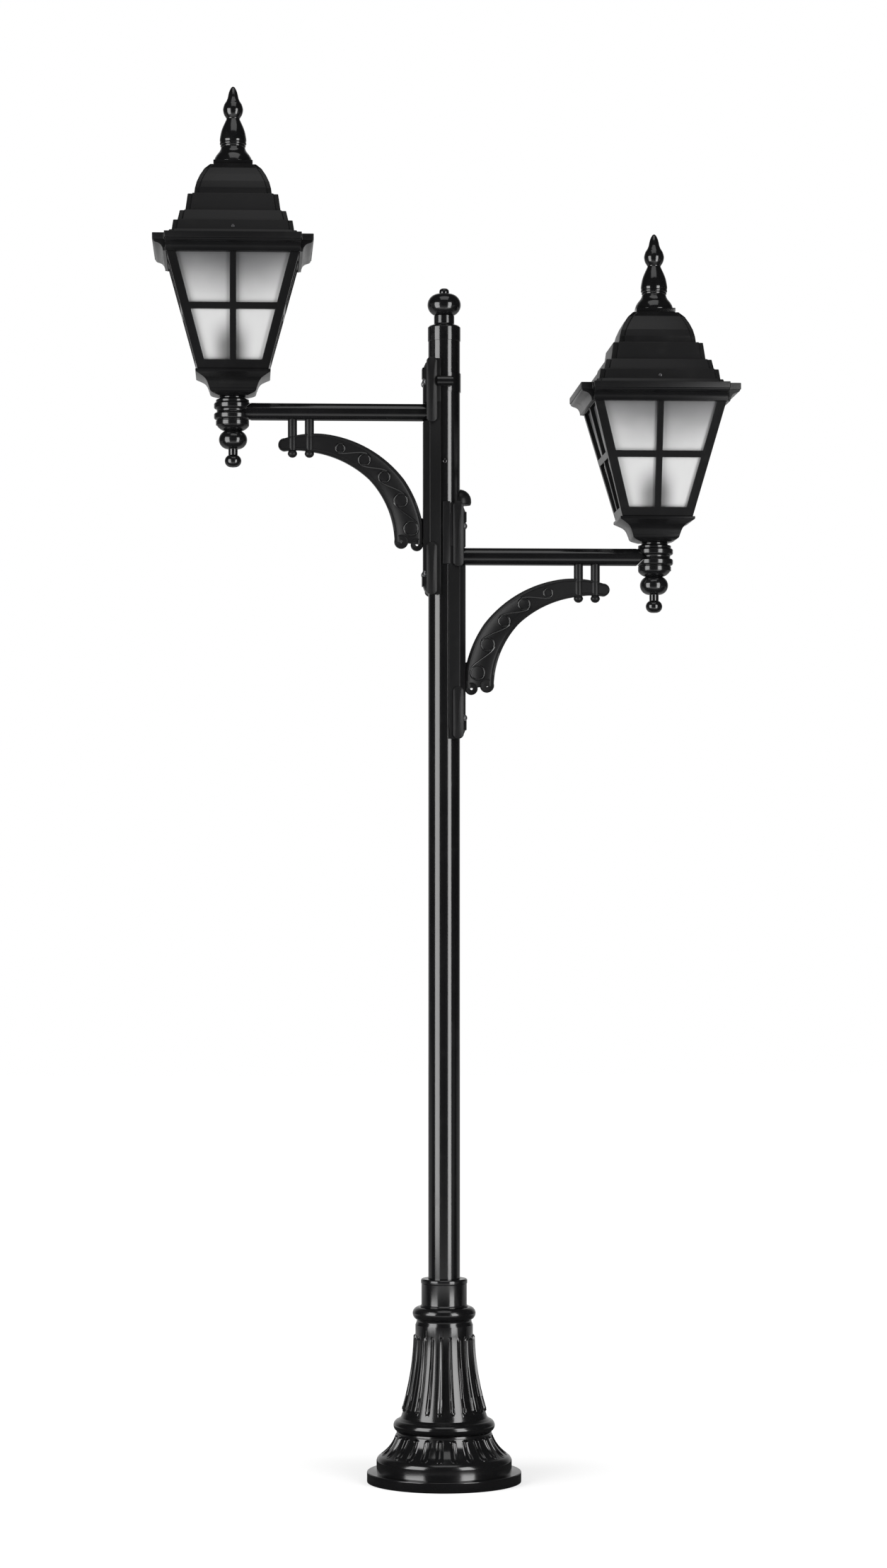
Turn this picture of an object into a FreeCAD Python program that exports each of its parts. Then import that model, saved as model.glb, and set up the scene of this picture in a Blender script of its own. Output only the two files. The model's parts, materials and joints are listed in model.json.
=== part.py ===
import FreeCAD
import Part
import Sketcher
import math
import os

# Garden lamp post with two arms at different heights, each carrying a four-sided lantern.
# Millimetres, +Z up. The origin is on the pole's axis at the ground and the arms run along X:
# the upper one towards -X and the lower one towards +X.

# Driving sizes, kept in the sheet. A height stands on the one below it in the same casting, and a radius or
# half width is counted from the piece that carries it, as the comment of its group says.
SIZES = {
    # clearances
    "fit_gap": 0.2,
    "thread_gap": 0.1,
    "pin_gap": 0.05,
    "slide_gap": 0.3,
    "swing_gap": 0.5,
    "overrun": 2.0,
    # pole: its top is counted from the upper arm
    "pole_radius": 30.0,
    "pole_wall": 3.0,
    "pole_top": 135.0,
    # ground flange: its radius is counted in from the pedestal's cavity, the anchors' circle from its edge
    "flange_radius": 14.0,
    "flange_thickness": 10.0,
    "anchor_circle": 23.0,
    "anchor_hole": 7.0,
    "cable_entry": 22.0,
    # pedestal foot and its fluted cove: radii beyond the one above, the cavity in from the foot's
    "foot_radius": 18.0,
    "foot_height": 20.0,
    "foot_edge": 2.0,
    "step_radius": 8.0,
    "step_height": 20.0,
    "shoulder_radius": 30.0,
    "shoulder_height": 11.0,
    "cove_radius": 8.0,
    "cove_height": 40.0,
    "foot_top": 5.0,
    "foot_cavity": 24.0,
    "cavity_height": 4.0,
    "foot_wall": 12.0,
    "flute_radius": 14.0,
    "flute_depth": 4.0,
    # bell with its ring, ribs and neck: the neck's radius beyond the pole, the bell's foot beyond the neck
    "ring_height": 22.0,
    "bell_foot_radius": 27.5,
    "bell_foot_height": 4.0,
    "bell_neck_radius": 24.5,
    "bell_neck_height": 157.0,
    "band_height": 18.0,
    "groove_radius": 2.5,
    "groove_height": 6.0,
    "torus_height": 4.0,
    "bell_top": 24.0,
    "bell_wall": 9.0,
    "bore_height": 9.0,
    "rib_foot": 16.0,
    "rib_proud": 4.0,
    "rib_root": 3.0,
    # collar that clamps the pedestal to the pole: radius beyond the pole, heights from the bell's top
    "collar_radius": 13.0,
    "collar_rim": 0.9,
    "collar_bead": 2.0,
    "rim_height": 45.0,
    "collar_top": 53.0,
    "set_screw_radius": 3.0,
    "set_screw_height": 24.0,
    # cap, its ball and its button: the band's radius is beyond the pole, the neck's in from it
    "cap_radius": 0.9,
    "cap_band": 26.0,
    "cap_slope": 3.0,
    "cap_neck_radius": 10.8,
    "cap_neck": 16.0,
    "spigot_depth": 27.0,
    "ball_height": 42.0,
    "ball_foot_radius": 14.0,
    "button_radius": 8.8,
    "button_height": 10.0,
    "stud_radius": 6.0,
    "stud_depth": 12.0,
    # arms: the upper one's height from the ground, the lower one's drop from it
    "upper_arm": 2022.0,
    "lower_arm": 272.0,
    "arm_reach": 399.0,
    "arm_radius": 16.5,
    "arm_wall": 2.5,
    "cable_hole": 9.0,
    # wall rail: reaches beyond the pole, heights from the arm's centre, pads beyond the rail's ends
    "rail_reach": 10.0,
    "facet_reach": 11.7,
    "cheek_depth": 4.0,
    "cheek_edge": 8.0,
    "rail_top": 98.0,
    "rail_foot": 343.0,
    "standoff_radius": 3.0,
    "pad_proud": 4.0,
    "pad_width": 20.0,
    "pad_centre": 15.0,
    "upper_pad_top": 4.0,
    "upper_pad_foot": 4.5,
    "lower_pad_top": 99.0,
    "lower_pad_foot": 3.0,
    "lip_proud": 2.0,
    "lip_length": 34.0,
    "dome_radius": 22.0,
    "dome_offset": 10.0,
    "tongue_edge": 4.0,
    "tongue_foot": 16.0,
    # screws and clamp: screws are counted from the upper pad's top and from the lower pad's foot
    "rail_screw_radius": 3.0,
    "rail_screw_head": 5.2,
    "rail_screw_proud": 4.5,
    "rail_screw_tip": 5.0,
    "upper_screw": 46.0,
    "lower_screw": 40.0,
    "band_thickness": 1.3,
    "band_width": 35.0,
    "clamp_bolt_radius": 9.3,
    "clamp_bolt_end": 14.7,
    "clamp_bolt_centre": 8.0,
    # curved brace and its pins: the outer pin in from the brace's tip, the inner one from the outer
    "brace_reach": 316.0,
    "brace_drop": 264.0,
    "brace_thickness": 12.0,
    "brace_rim": 2.0,
    "brace_rim_width": 7.0,
    "outer_pin": 29.0,
    "inner_pin": 32.0,
    "pin_radius": 8.7,
    "pin_shank": 4.5,
    "pin_boss_top": 47.0,
    "pin_boss_foot": 73.0,
    "pin_ball": 9.0,
    "ring_wall": 2.2,
    "ring_proud": 1.6,
    # lantern socket and pendant: the core beyond the arm's radius, the rings beyond the core
    "core_radius": 7.5,
    "socket_ring": 11.5,
    "socket_step": 2.9,
    "socket_neck": 1.0,
    "socket_neck_foot": 21.5,
    "ring_top": 16.5,
    "ring_foot": 4.5,
    "low_ring_top": 3.5,
    "low_ring_foot": 14.0,
    "step_ring_foot": 26.5,
    "notch_tip": 17.0,
    "socket_bore": 12.0,
    "nipple_radius": 9.0,
    "nipple_bore": 5.5,
    "nipple_top": 18.0,
    "pendant_cone": 37.0,
    "pendant_waist": 16.0,
    "pendant_ball_end": 71.0,
    "pendant_stem": 8.8,
    "stem_end": 82.5,
    "pendant_end": 104.5,
    # tray: its lip beyond the frames' foot
    "tray_foot": 28.0,
    "tray_foot_half": 28.0,
    "tray_lip_foot": 33.6,
    "tray_lip_half": 3.9,
    "tray_top": 11.0,
    "tray_floor": 6.0,
    "tray_wall": 4.5,
    # frames and panes: heights from the tray's top, the panes' head down from the frames' top
    "frame_foot_half": 66.5,
    "frame_top_half": 125.0,
    "frame_top": 217.4,
    "frame_wall": 8.0,
    "stile_width": 17.0,
    "pane_foot": 17.0,
    "pane_head": 7.0,
    "cross_height": 97.2,
    "cross_width": 12.0,
    "pane_thickness": 3.0,
    "pane_edge": 0.3,
    "pane_seat": 3.0,
    # top ring, gasket and hinge: ring beyond the frames' top, the rest from the ring and the fascia
    "top_ring_half": 3.0,
    "top_ring_inner": 33.0,
    "top_ring_height": 13.0,
    "upstand_half": 4.0,
    "upstand_wall": 3.0,
    "upstand_top": 35.0,
    "gasket_half": 8.0,
    "gasket_width": 8.0,
    "gasket_thickness": 1.7,
    "hinge_back": 8.0,
    "hinge_height": 6.3,
    "knuckle_radius": 6.0,
    "hinge_pin_radius": 2.5,
    "knuckle_length": 30.0,
    "ear_length": 13.0,
    "hinge_head": 1.5,
    "ear_plate": 8.0,
    # roof: the fascia beyond the top ring, the dome in from the last course
    "fascia_half": 22.0,
    "fascia_height": 12.0,
    "fascia_notch": 22.5,
    "course_notch": 8.7,
    "roof_wall": 4.0,
    "dome_foot": 81.3,
    "dome_top": 63.0,
    "dome_foot_half": 11.45,
    # roof screw, its height from the fascia's foot
    "roof_screw_height": 27.3,
    "roof_screw_radius": 2.0,
    "roof_screw_head": 4.2,
    "roof_screw_cap": 2.4,
    "screw_stop_gap": 1.5,
    # finial
    "finial_plate_half": 37.0,
    "finial_plate": 6.0,
    "finial_height": 146.0,
    "finial_radius": 28.3,
    "finial_stud": 5.0,
    "finial_stud_depth": 12.0,
    # lamp holder and bulb: heights from the tray's floor up, each from the one before
    "holder_base_radius": 24.0,
    "holder_base": 4.0,
    "riser_radius": 13.0,
    "cup_foot": 66.0,
    "cup_top": 29.0,
    "cup_radius": 22.0,
    "lamp_thread": 13.0,
    "lamp_seat": 26.0,
    "bulb_radius": 29.5,
    "bulb_neck_top": 5.0,
    "bulb_shoulder": 52.0,
    # terminal block, its screw and the cables: the block below the upper arm and in from the pole's bore
    "block_width": 20.0,
    "block_depth": 12.0,
    "block_foot": 117.0,
    "block_top": 46.0,
    "block_front": 3.0,
    "block_screw_height": 23.0,
    "block_screw_radius": 2.4,
    "block_screw_head": 5.0,
    "block_screw_proud": 2.6,
    "block_screw_tip": 12.0,
    "supply_radius": 4.5,
    "cable_radius": 3.5,
    "cable_back": 16.0,
    "cable_aside": 5.0,
    "cable_bend": 18.0,
    "cable_swing": 10.0,
}

# How many times a form repeats round its piece.
ANCHORS = 4
FLUTES = 20
RIBS = 12
# Degrees that a rib of the bell takes up.
RIB_TURN = 22.0
SIDES = 4
# Direction of the slanted facets of a wall rail from its arm, in degrees.
FACET_TURN = 30.0
SET_SCREW_TURNS = (60.0, 120.0)

# Shares (radius, height) of the finial from its plate up, of finial_radius and finial_height.
FINIAL_SHARES = (
    (1.0, 0.0), (1.0, 0.03), (0.79, 0.085), (0.79, 0.10), (0.88, 0.135), (0.88, 0.20), (0.79, 0.30),
    (0.64, 0.41), (0.43, 0.51), (0.46, 0.535), (0.62, 0.58), (0.665, 0.65), (0.62, 0.70), (0.46, 0.755),
    (0.355, 0.80), (0.325, 0.85), (0.26, 0.92), (0.15, 0.975), (0.0, 1.0),
)
# Shares (half width, height) of the tray's ogee, of its lip's half width and of its height below the lip.
OGEE_SHARES = ((0.0, 0.0), (0.33, 0.17), (0.41, 0.42), (0.5, 0.70), (0.66, 0.90), (1.0, 1.0))
# Shares (half width at the foot, half width at the head, head height) of the roof's courses, of the fascia's
# half width and of the height from the fascia's top to the dome's foot.
COURSE_SHARES = (
    (0.811, 0.79, 0.106), (0.76, 0.74, 0.346), (0.69, 0.66, 0.586), (0.595, 0.563, 1.0),
)
# Shares (half width, height) of the dome's outline, of its foot's half width and of its height.
DOME_SHARES = ((1.0, 0.0), (0.975, 0.21), (0.93, 0.41), (0.85, 0.62), (0.735, 0.84), (0.59, 1.0))
# Shares (outward, downward) of the brace's two edges, of its reach and of its drop. Three points make an arc.
OUTER_EDGE_SHARES = ((0.955, 0.19), (0.86, 0.163), (0.72, 0.158), (0.47, 0.25), (0.243, 0.477),
                     (0.172, 0.63), (0.127, 0.80), (0.1165, 0.875), (0.122, 0.947))
INNER_EDGE_SHARES = ((0.298, 0.925), (0.2975, 0.905), (0.299, 0.885), (0.348, 0.66), (0.448, 0.482),
                     (0.625, 0.342), (0.80, 0.285), (0.88, 0.275), (0.955, 0.282))
# Share of the reach and of the drop where the brace's lug runs back to the rail.
LUG_SHARES = (0.127, 0.80)
# Shares (outward, downward, radius of the drop) of the two lobes at the brace's foot, then of its rings.
LOBE_SHARES = ((0.257, 0.925, 0.050), (0.160, 0.947, 0.048))
RING_SHARES = ((0.623, 0.259, 0.037), (0.479, 0.340, 0.0465), (0.360, 0.462, 0.0455), (0.261, 0.630, 0.052),
               (0.199, 0.832, 0.0555))


# Shares (twice the height over the chord) of an outline's arcs, by the corner that each starts from.
FOOT_BOW_SHARES = {2: 0.41, 5: 0.25, 6: -0.18}
BELL_BOW_SHARES = {1: 0.73, 3: -0.08, 7: 0.72, 11: 0.08}
RIB_BOW_SHARES = {1: -0.072, 3: 0.072}
COLLAR_BOW_SHARES = {6: 0.3}
BALL_BOW_SHARES = {3: 0.95, 5: 0.3}
PAD_BOW_SHARES = {0: 0.7, 2: 0.7}
RAIL_SCREW_BOW_SHARES = {3: 0.33}
PIN_BOW_SHARES = {0: 0.38, 1: 0.15}
SOCKET_BOW_SHARES = {3: 0.25, 6: 0.25, 8: 0.3, 10: -0.12}
PENDANT_BOW_SHARES = {0: 0.95, 2: 0.82, 3: 0.2}
SMALL_SCREW_BOW_SHARES = {3: 0.4}
BULB_BOW_SHARES = {3: 0.12, 4: 0.414}
# Other shares: of the cove's run where a flute starts (outward, upward) and for its length, of the bell's
# spread at a rib's foot, of a pad's width in its round ends, of the button's height in its wall, of a screw
# head's radius in its eye, of a pin ball's radius in its drops and neck, of the pole's radius where the tongue
# starts, of the knuckle's radius in a pin head, and of the bulb's radius in its tip.
FLUTE_START_SHARES = (0.70, 0.30)
FLUTE_LENGTH_SHARE = 0.42
RIB_FOOT_SHARE = 0.905
PAD_END_SHARE = 0.35
BUTTON_WALL_SHARE = 0.6
EYE_SHARE = 0.2
PIN_BALL_SHARES = (1.5, 0.7, 0.72)
TONGUE_SHARE = 0.9
PIN_HEAD_SHARE = 0.7
BULB_TIP_SHARE = 0.1
# Centre (outward, downward) that the brace's edges are drawn towards, then the shares of a cable's swing in
# its route: the upper one's rise and the lower one's two drops.
BRACE_CENTRE_SHARES = (0.95, 1.05)
SWING_SHARES = (3.5, 4.0, 8.0)
BEND_ROOM_SHARE = 0.45


class Size:
    """A length with the sheet formula that gives it, so that what is drawn and what is bound agree."""

    def __init__(self, value, formula):
        self.value = value
        self.formula = formula

    def join(self, sign, other, value):
        return Size(value, "(%s %s %s)" % (self.formula, sign, formula_of(other)))

    def __add__(self, other):
        return self.join("+", other, self.value + value_of(other))

    def __sub__(self, other):
        return self.join("-", other, self.value - value_of(other))

    def __mul__(self, other):
        return self.join("*", other, self.value * value_of(other))

    def __truediv__(self, other):
        return self.join("/", other, self.value / value_of(other))

    def __neg__(self):
        return self * -1

    __radd__ = __add__
    __rmul__ = __mul__


def value_of(length):
    return length.value if isinstance(length, Size) else float(length)


def formula_of(length):
    return length.formula if isinstance(length, Size) else "(%.12f)" % length


def root(square):
    return Size(math.sqrt(square.value), "sqrt(%s)" % square.formula)


class Sheet:
    """Gives each driving size by its name."""

    def __getattr__(self, name):
        return Size(SIZES[name], "Sizes." + name)


doc = FreeCAD.newDocument("garden_lamp_post")
sheet = doc.addObject("Spreadsheet::Sheet", "Sizes")
for row, (name, value) in enumerate(SIZES.items(), start=1):
    sheet.set("A%d" % row, name)
    sheet.set("B%d" % row, str(value))
    sheet.setAlias("B%d" % row, name)
doc.recompute()
d = Sheet()
ZERO = Size(0.0, "0")
V = FreeCAD.Vector
X, Y, Z = V(1, 0, 0), V(0, 1, 0), V(0, 0, 1)
pieces = []

# Heights of the pedestal from the ground.
step_level = d.foot_height + d.step_height
shoulder_level = step_level + d.shoulder_height
cove_level = shoulder_level + d.cove_height
foot_level = cove_level + d.foot_top
ring_level = foot_level + d.ring_height
bell_foot_level = ring_level + d.bell_foot_height
neck_level = bell_foot_level + d.bell_neck_height
band_level = neck_level + d.band_height
groove_level = band_level + d.groove_height
torus_level = groove_level + d.torus_height
bell_level = torus_level + d.bell_top
# Radii of the pedestal.
collar_out = d.pole_radius + d.collar_radius
neck_out = d.pole_radius + d.bell_neck_radius
groove_out = neck_out - d.groove_radius
bell_foot_out = neck_out + d.bell_foot_radius
cove_out = bell_foot_out + d.cove_radius
shoulder_out = cove_out + d.shoulder_radius
step_out = shoulder_out + d.step_radius
foot_out = step_out + d.foot_radius
cavity_out = foot_out - d.foot_cavity
flange_out = cavity_out - d.flange_radius
anchor_out = flange_out - d.anchor_circle
# Heights along the post from the ground.
lower_level = d.upper_arm - d.lower_arm
pole_level = d.upper_arm + d.pole_top
block_level = d.upper_arm - d.block_foot
block_top_level = block_level + d.block_top
block_screw_level = block_level + d.block_screw_height
# Reaches of a bracket from the pole's axis, and its heights from the arm's centre.
rail_face = d.pole_radius + d.rail_reach
facet_face = d.pole_radius + d.facet_reach
cheek_face = d.pole_radius + d.cheek_depth
standoff_out = d.pole_radius + d.standoff_radius
pad_left = rail_face - d.pad_centre - d.pad_width / 2
pad_right = pad_left + d.pad_width
upper_pad_level = d.rail_top + d.upper_pad_top
upper_pad_base = -d.arm_radius - d.upper_pad_foot
lower_pad_base = -d.rail_foot - d.lower_pad_foot
lower_pad_level = lower_pad_base + d.lower_pad_top
upper_screw_level = upper_pad_level - d.upper_screw
lower_screw_level = lower_pad_base + d.lower_screw
outer_pin_out = d.brace_reach - d.outer_pin
inner_pin_out = outer_pin_out - d.inner_pin
# Radii of the socket.
core_out = d.arm_radius + d.core_radius
socket_ring_out = core_out + d.socket_ring
socket_step_out = socket_ring_out - d.socket_step
socket_neck_out = core_out + d.socket_neck
# Heights of a lantern from the arm's centre.
floor_level = d.tray_foot + d.tray_floor
nipple_level = floor_level + d.nipple_top
lip_level = d.tray_foot + d.tray_lip_foot
tray_level = lip_level + d.tray_top
frame_level = tray_level + d.frame_top
pane_foot_level = tray_level + d.pane_foot
pane_head_level = frame_level - d.pane_head
cross_level = pane_foot_level + d.cross_height
slab_level = frame_level + d.top_ring_height
upstand_level = slab_level + d.upstand_top
fascia_level = slab_level + d.gasket_thickness
fascia_top_level = fascia_level + d.fascia_height
hinge_level = fascia_level + d.hinge_height
roof_screw_level = fascia_level + d.roof_screw_height
dome_foot_level = fascia_top_level + d.dome_foot
dome_level = dome_foot_level + d.dome_top
cup_level = floor_level + d.cup_foot
seat_level = cup_level + d.lamp_seat
cup_top_level = seat_level + d.cup_top
bulb_neck_level = cup_top_level + d.bulb_neck_top
bulb_shoulder_level = bulb_neck_level + d.bulb_shoulder
# Half widths of a lantern.
lip_half = d.frame_foot_half + d.tray_lip_half
ring_half = d.frame_top_half + d.top_ring_half
ring_inner_half = d.frame_top_half - d.top_ring_inner
upstand_out = ring_inner_half + d.upstand_half
gasket_out = ring_half - d.gasket_half
fascia_out = ring_half + d.fascia_half
hinge_out = fascia_out + d.hinge_back
dome_foot_out = fascia_out * COURSE_SHARES[-1][1] - d.dome_foot_half


def cosine(degrees):
    return math.cos(math.radians(degrees))


def sine(degrees):
    return math.sin(math.radians(degrees))


def point(x, y, z):
    return V(value_of(x), value_of(y), value_of(z))


def place(item, x=ZERO, y=ZERO, z=ZERO, about=Z, turn=0.0):
    """Turn the item about an axis through its own origin, then move that origin to x, y, z."""
    item.Placement = FreeCAD.Placement(point(x, y, z), FreeCAD.Rotation(about, turn))
    for name, length in (("x", x), ("y", y), ("z", z)):
        if isinstance(length, Size) and length is not ZERO:
            item.setExpression("Placement.Base." + name, length.formula)
    return item


def solid(kind, name, at=(ZERO, ZERO, ZERO), about=Z, turn=0.0, **sizes):
    """A primitive whose sizes are bound to the sheet."""
    item = doc.addObject("Part::" + kind, name)
    for size_name, length in sizes.items():
        item.setExpression(size_name, length.formula)
    return place(item, at[0], at[1], at[2], about, turn)


def block(name, low, high):
    """A box between its lowest and highest corners."""
    length, width, height = (end - start for start, end in zip(low, high))
    return solid("Box", name, at=low, Length=length, Width=width, Height=height)


def fused(name, shapes):
    if len(shapes) == 1:
        return shapes[0]
    item = doc.addObject("Part::MultiFuse", name)
    item.Shapes = shapes
    return item


def cut(name, base, tool):
    item = doc.addObject("Part::Cut", name)
    item.Base = base
    item.Tool = tool
    return item


def common(name, shapes):
    item = doc.addObject("Part::MultiCommon", name)
    item.Shapes = shapes
    return item


def group(name, shapes):
    item = doc.addObject("Part::Compound", name)
    item.Links = shapes
    return item


def made(name, shape):
    """A shape that the plain features don't offer, worked out from the sheet's sizes."""
    item = doc.addObject("Part::Feature", name)
    item.Shape = shape
    return item


def piece(label, item):
    item.Label = label
    pieces.append(item)
    return item


def own_plane(body, role):
    return next(plane for plane in body.Origin.OriginFeatures if plane.Role == role)


def new_body(name):
    return doc.addObject("PartDesign::Body", name)


def outline(body, name, role, corners, bulges=None, lift=None):
    """Closed sketch on the body's own plane, straight between its corners. After a corner listed in bulges
    the edge is an arc, whose bulge is twice its height over its chord: positive swells to the right."""
    bulges = bulges or {}
    sketch = body.newObject("Sketcher::SketchObject", name)
    sketch.AttachmentSupport = [(own_plane(body, role), "")]
    sketch.MapMode = "FlatFace"
    if lift is not None:
        sketch.AttachmentOffset = FreeCAD.Placement(point(0, 0, lift), FreeCAD.Rotation())
        sketch.setExpression("AttachmentOffset.Base.z", lift.formula)
    ends = []
    for number, start in enumerate(corners):
        stop = corners[(number + 1) % len(corners)]
        p, q = point(start[0], start[1], 0), point(stop[0], stop[1], 0)
        if number not in bulges:
            sketch.addGeometry(Part.LineSegment(p, q))
            ends.append((1, 2))
            continue
        bulge = bulges[number]
        run, rise = stop[0] - start[0], stop[1] - start[1]
        chord = root(run * run + rise * rise)
        radius = chord * ((1 + bulge * bulge) / (4 * abs(bulge)))
        along = (q - p).normalize()
        aside = (chord.value * abs(bulge) / 2 - radius.value) * math.copysign(1, bulge)
        centre = (p + q) * 0.5 + V(along.y, -along.x, 0) * aside
        first, last = (p, q) if bulge > 0 else (q, p)
        angles = [math.atan2(end.y - centre.y, end.x - centre.x) for end in (first, last)]
        if angles[1] < angles[0]:
            angles[1] += 2 * math.pi
        sketch.addGeometry(Part.ArcOfCircle(Part.Circle(centre, Z, radius.value), *angles))
        sketch.setExpression("Constraints[%d]" % sketch.addConstraint(
            Sketcher.Constraint("Radius", number, radius.value)), radius.formula)
        ends.append((1, 2) if bulge > 0 else (2, 1))
    for number, (x, y) in enumerate(corners):
        after = (number + 1) % len(corners)
        sketch.addConstraint(Sketcher.Constraint("Coincident", number, ends[number][1], after,
                                                 ends[after][0]))
        for kind, axis, length in (("DistanceX", -2, x), ("DistanceY", -1, y)):
            if length is ZERO:
                sketch.addConstraint(Sketcher.Constraint("PointOnObject", number, ends[number][0], axis))
            else:
                held = Sketcher.Constraint(kind, -1, 1, number, ends[number][0], length.value)
                sketch.setExpression("Constraints[%d]" % sketch.addConstraint(held), length.formula)
    return sketch


def turned(name, corners, bulges=None):
    """A turned piece: its outline (radius, height) revolved about the vertical axis."""
    body = new_body(name)
    profile = outline(body, name + "_profile", "XZ_Plane", corners, bulges)
    turn = body.newObject("PartDesign::Revolution", name + "_turn")
    turn.Profile = (profile, [""])
    turn.ReferenceAxis = (profile, ["V_Axis"])
    return body


def padded(body, profile, length, both=False):
    """Grow the profile along its plane's normal, or by half to each side."""
    pad = body.newObject("PartDesign::Pad", profile.Name + "_pad")
    pad.Profile = (profile, [""])
    pad.setExpression("Length", length.formula)
    if both:
        pad.SideType = "Symmetric"
    return pad


def pocketed(body, profile, length, both=False):
    """Cut the profile out of the body, against its plane's normal, or by half to each side."""
    pocket = body.newObject("PartDesign::Pocket", profile.Name + "_pocket")
    pocket.Profile = (profile, [""])
    pocket.setExpression("Length", length.formula)
    if both:
        pocket.SideType = "Symmetric"
    return pocket


def repeated(body, feature, count):
    """Repeat a feature round the body's vertical axis."""
    pattern = body.newObject("PartDesign::PolarPattern", feature.Name + "_round")
    pattern.Originals = [feature]
    pattern.Axis = (own_plane(body, "Z_Axis"), [""])
    pattern.Angle = 360
    pattern.Occurrences = count
    body.Tip = pattern
    return pattern


def rod(name, radius, start, length, about=Z, turn=0.0):
    """A cylinder from a start point, along +Z turned about an axis."""
    return solid("Cylinder", name, at=start, about=about, turn=turn, Radius=radius, Height=length)


def square_ring(name, outer, inner, foot, height):
    """A flat square frame with a square opening."""
    return cut(name, block(name + "_slab", (-outer, -outer, foot), (outer, outer, foot + height)),
               block(name + "_opening", (-inner, -inner, foot - d.overrun),
                     (inner, inner, foot + height + d.overrun)))


def notched_wire(half, notch, height):
    """A square with a square notch taken out of each corner, at one height."""
    wide, narrow = value_of(half), value_of(half) - value_of(notch)
    quarter = [(wide, -narrow), (wide, narrow), (narrow, narrow)]
    corners = []
    for turn in range(SIDES):
        for x, y in quarter:
            for _ in range(turn):
                x, y = -y, x
            corners.append(V(x, y, value_of(height)))
    return Part.makePolygon(corners + corners[:1])


def square_wire(half, height):
    return Part.makePolygon([V(x * value_of(half), y * value_of(half), value_of(height))
                             for x, y in ((1, -1), (1, 1), (-1, 1), (-1, -1), (1, -1))])


def stacked(wires):
    """Solids between each wire and the next, joined."""
    spans = [Part.makeLoft([low, high], True, True) for low, high in zip(wires, wires[1:])]
    return spans[0].multiFuse(spans[1:]).removeSplitter() if len(spans) > 1 else spans[0]


def ground_flange():
    name = "ground_flange"
    plate = solid("Cylinder", name + "_plate", Radius=flange_out, Height=d.flange_thickness)
    through = d.flange_thickness + d.overrun * 2
    holes = [rod(name + "_entry", d.cable_entry, (ZERO, ZERO, -d.overrun), through)]
    for number in range(ANCHORS):
        turn = 45.0 + 360.0 * number / ANCHORS
        holes.append(rod("%s_hole_%d" % (name, number), d.anchor_hole,
                         (anchor_out * cosine(turn), anchor_out * sine(turn), -d.overrun), through))
    piece(name, cut(name, plate, fused(name + "_holes", holes)))


def pole():
    name = "pole"
    foot, height = d.flange_thickness, pole_level - d.flange_thickness
    tube = cut(name + "_tube", rod(name + "_outside", d.pole_radius, (ZERO, ZERO, foot), height),
               rod(name + "_bore", d.pole_radius - d.pole_wall, (ZERO, ZERO, foot - d.overrun),
                   height + d.overrun * 2))
    holes = []
    for arm, level, way in (("upper", d.upper_arm, 180.0), ("lower", lower_level, 0.0)):
        holes.append(rod("%s_%s_entry" % (name, arm), d.cable_hole, (ZERO, ZERO, level),
                         d.pole_radius + d.overrun, Y, 90.0 if way == 0.0 else -90.0))
        for number, (turn, drop) in enumerate(screw_places()):
            holes.append(radial_rod("%s_%s_screw_%d" % (name, arm, number),
                                    d.rail_screw_radius + d.thread_gap,
                                    ZERO, d.pole_radius + d.overrun, way + turn, level + drop))
    holes.append(rod(name + "_block_screw", d.block_screw_radius + d.thread_gap,
                     (ZERO, ZERO, block_screw_level), d.pole_radius + d.overrun, X, 90.0))
    piece(name, cut(name, tube, fused(name + "_holes", holes)))


def radial_rod(name, radius, start, length, turn, level):
    """A cylinder that runs straight out from the vertical axis in the direction of turn."""
    tilt = FreeCAD.Rotation(Z, turn).multiply(FreeCAD.Rotation(Y, 90.0))
    item = solid("Cylinder", name, Radius=radius, Height=length)
    item.Placement = FreeCAD.Placement(point(start * cosine(turn), start * sine(turn), level), tilt)
    item.setExpression("Placement.Base.z", level.formula)
    if start is not ZERO:
        item.setExpression("Placement.Base.x", (start * cosine(turn)).formula)
        item.setExpression("Placement.Base.y", (start * sine(turn)).formula)
    return item


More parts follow.
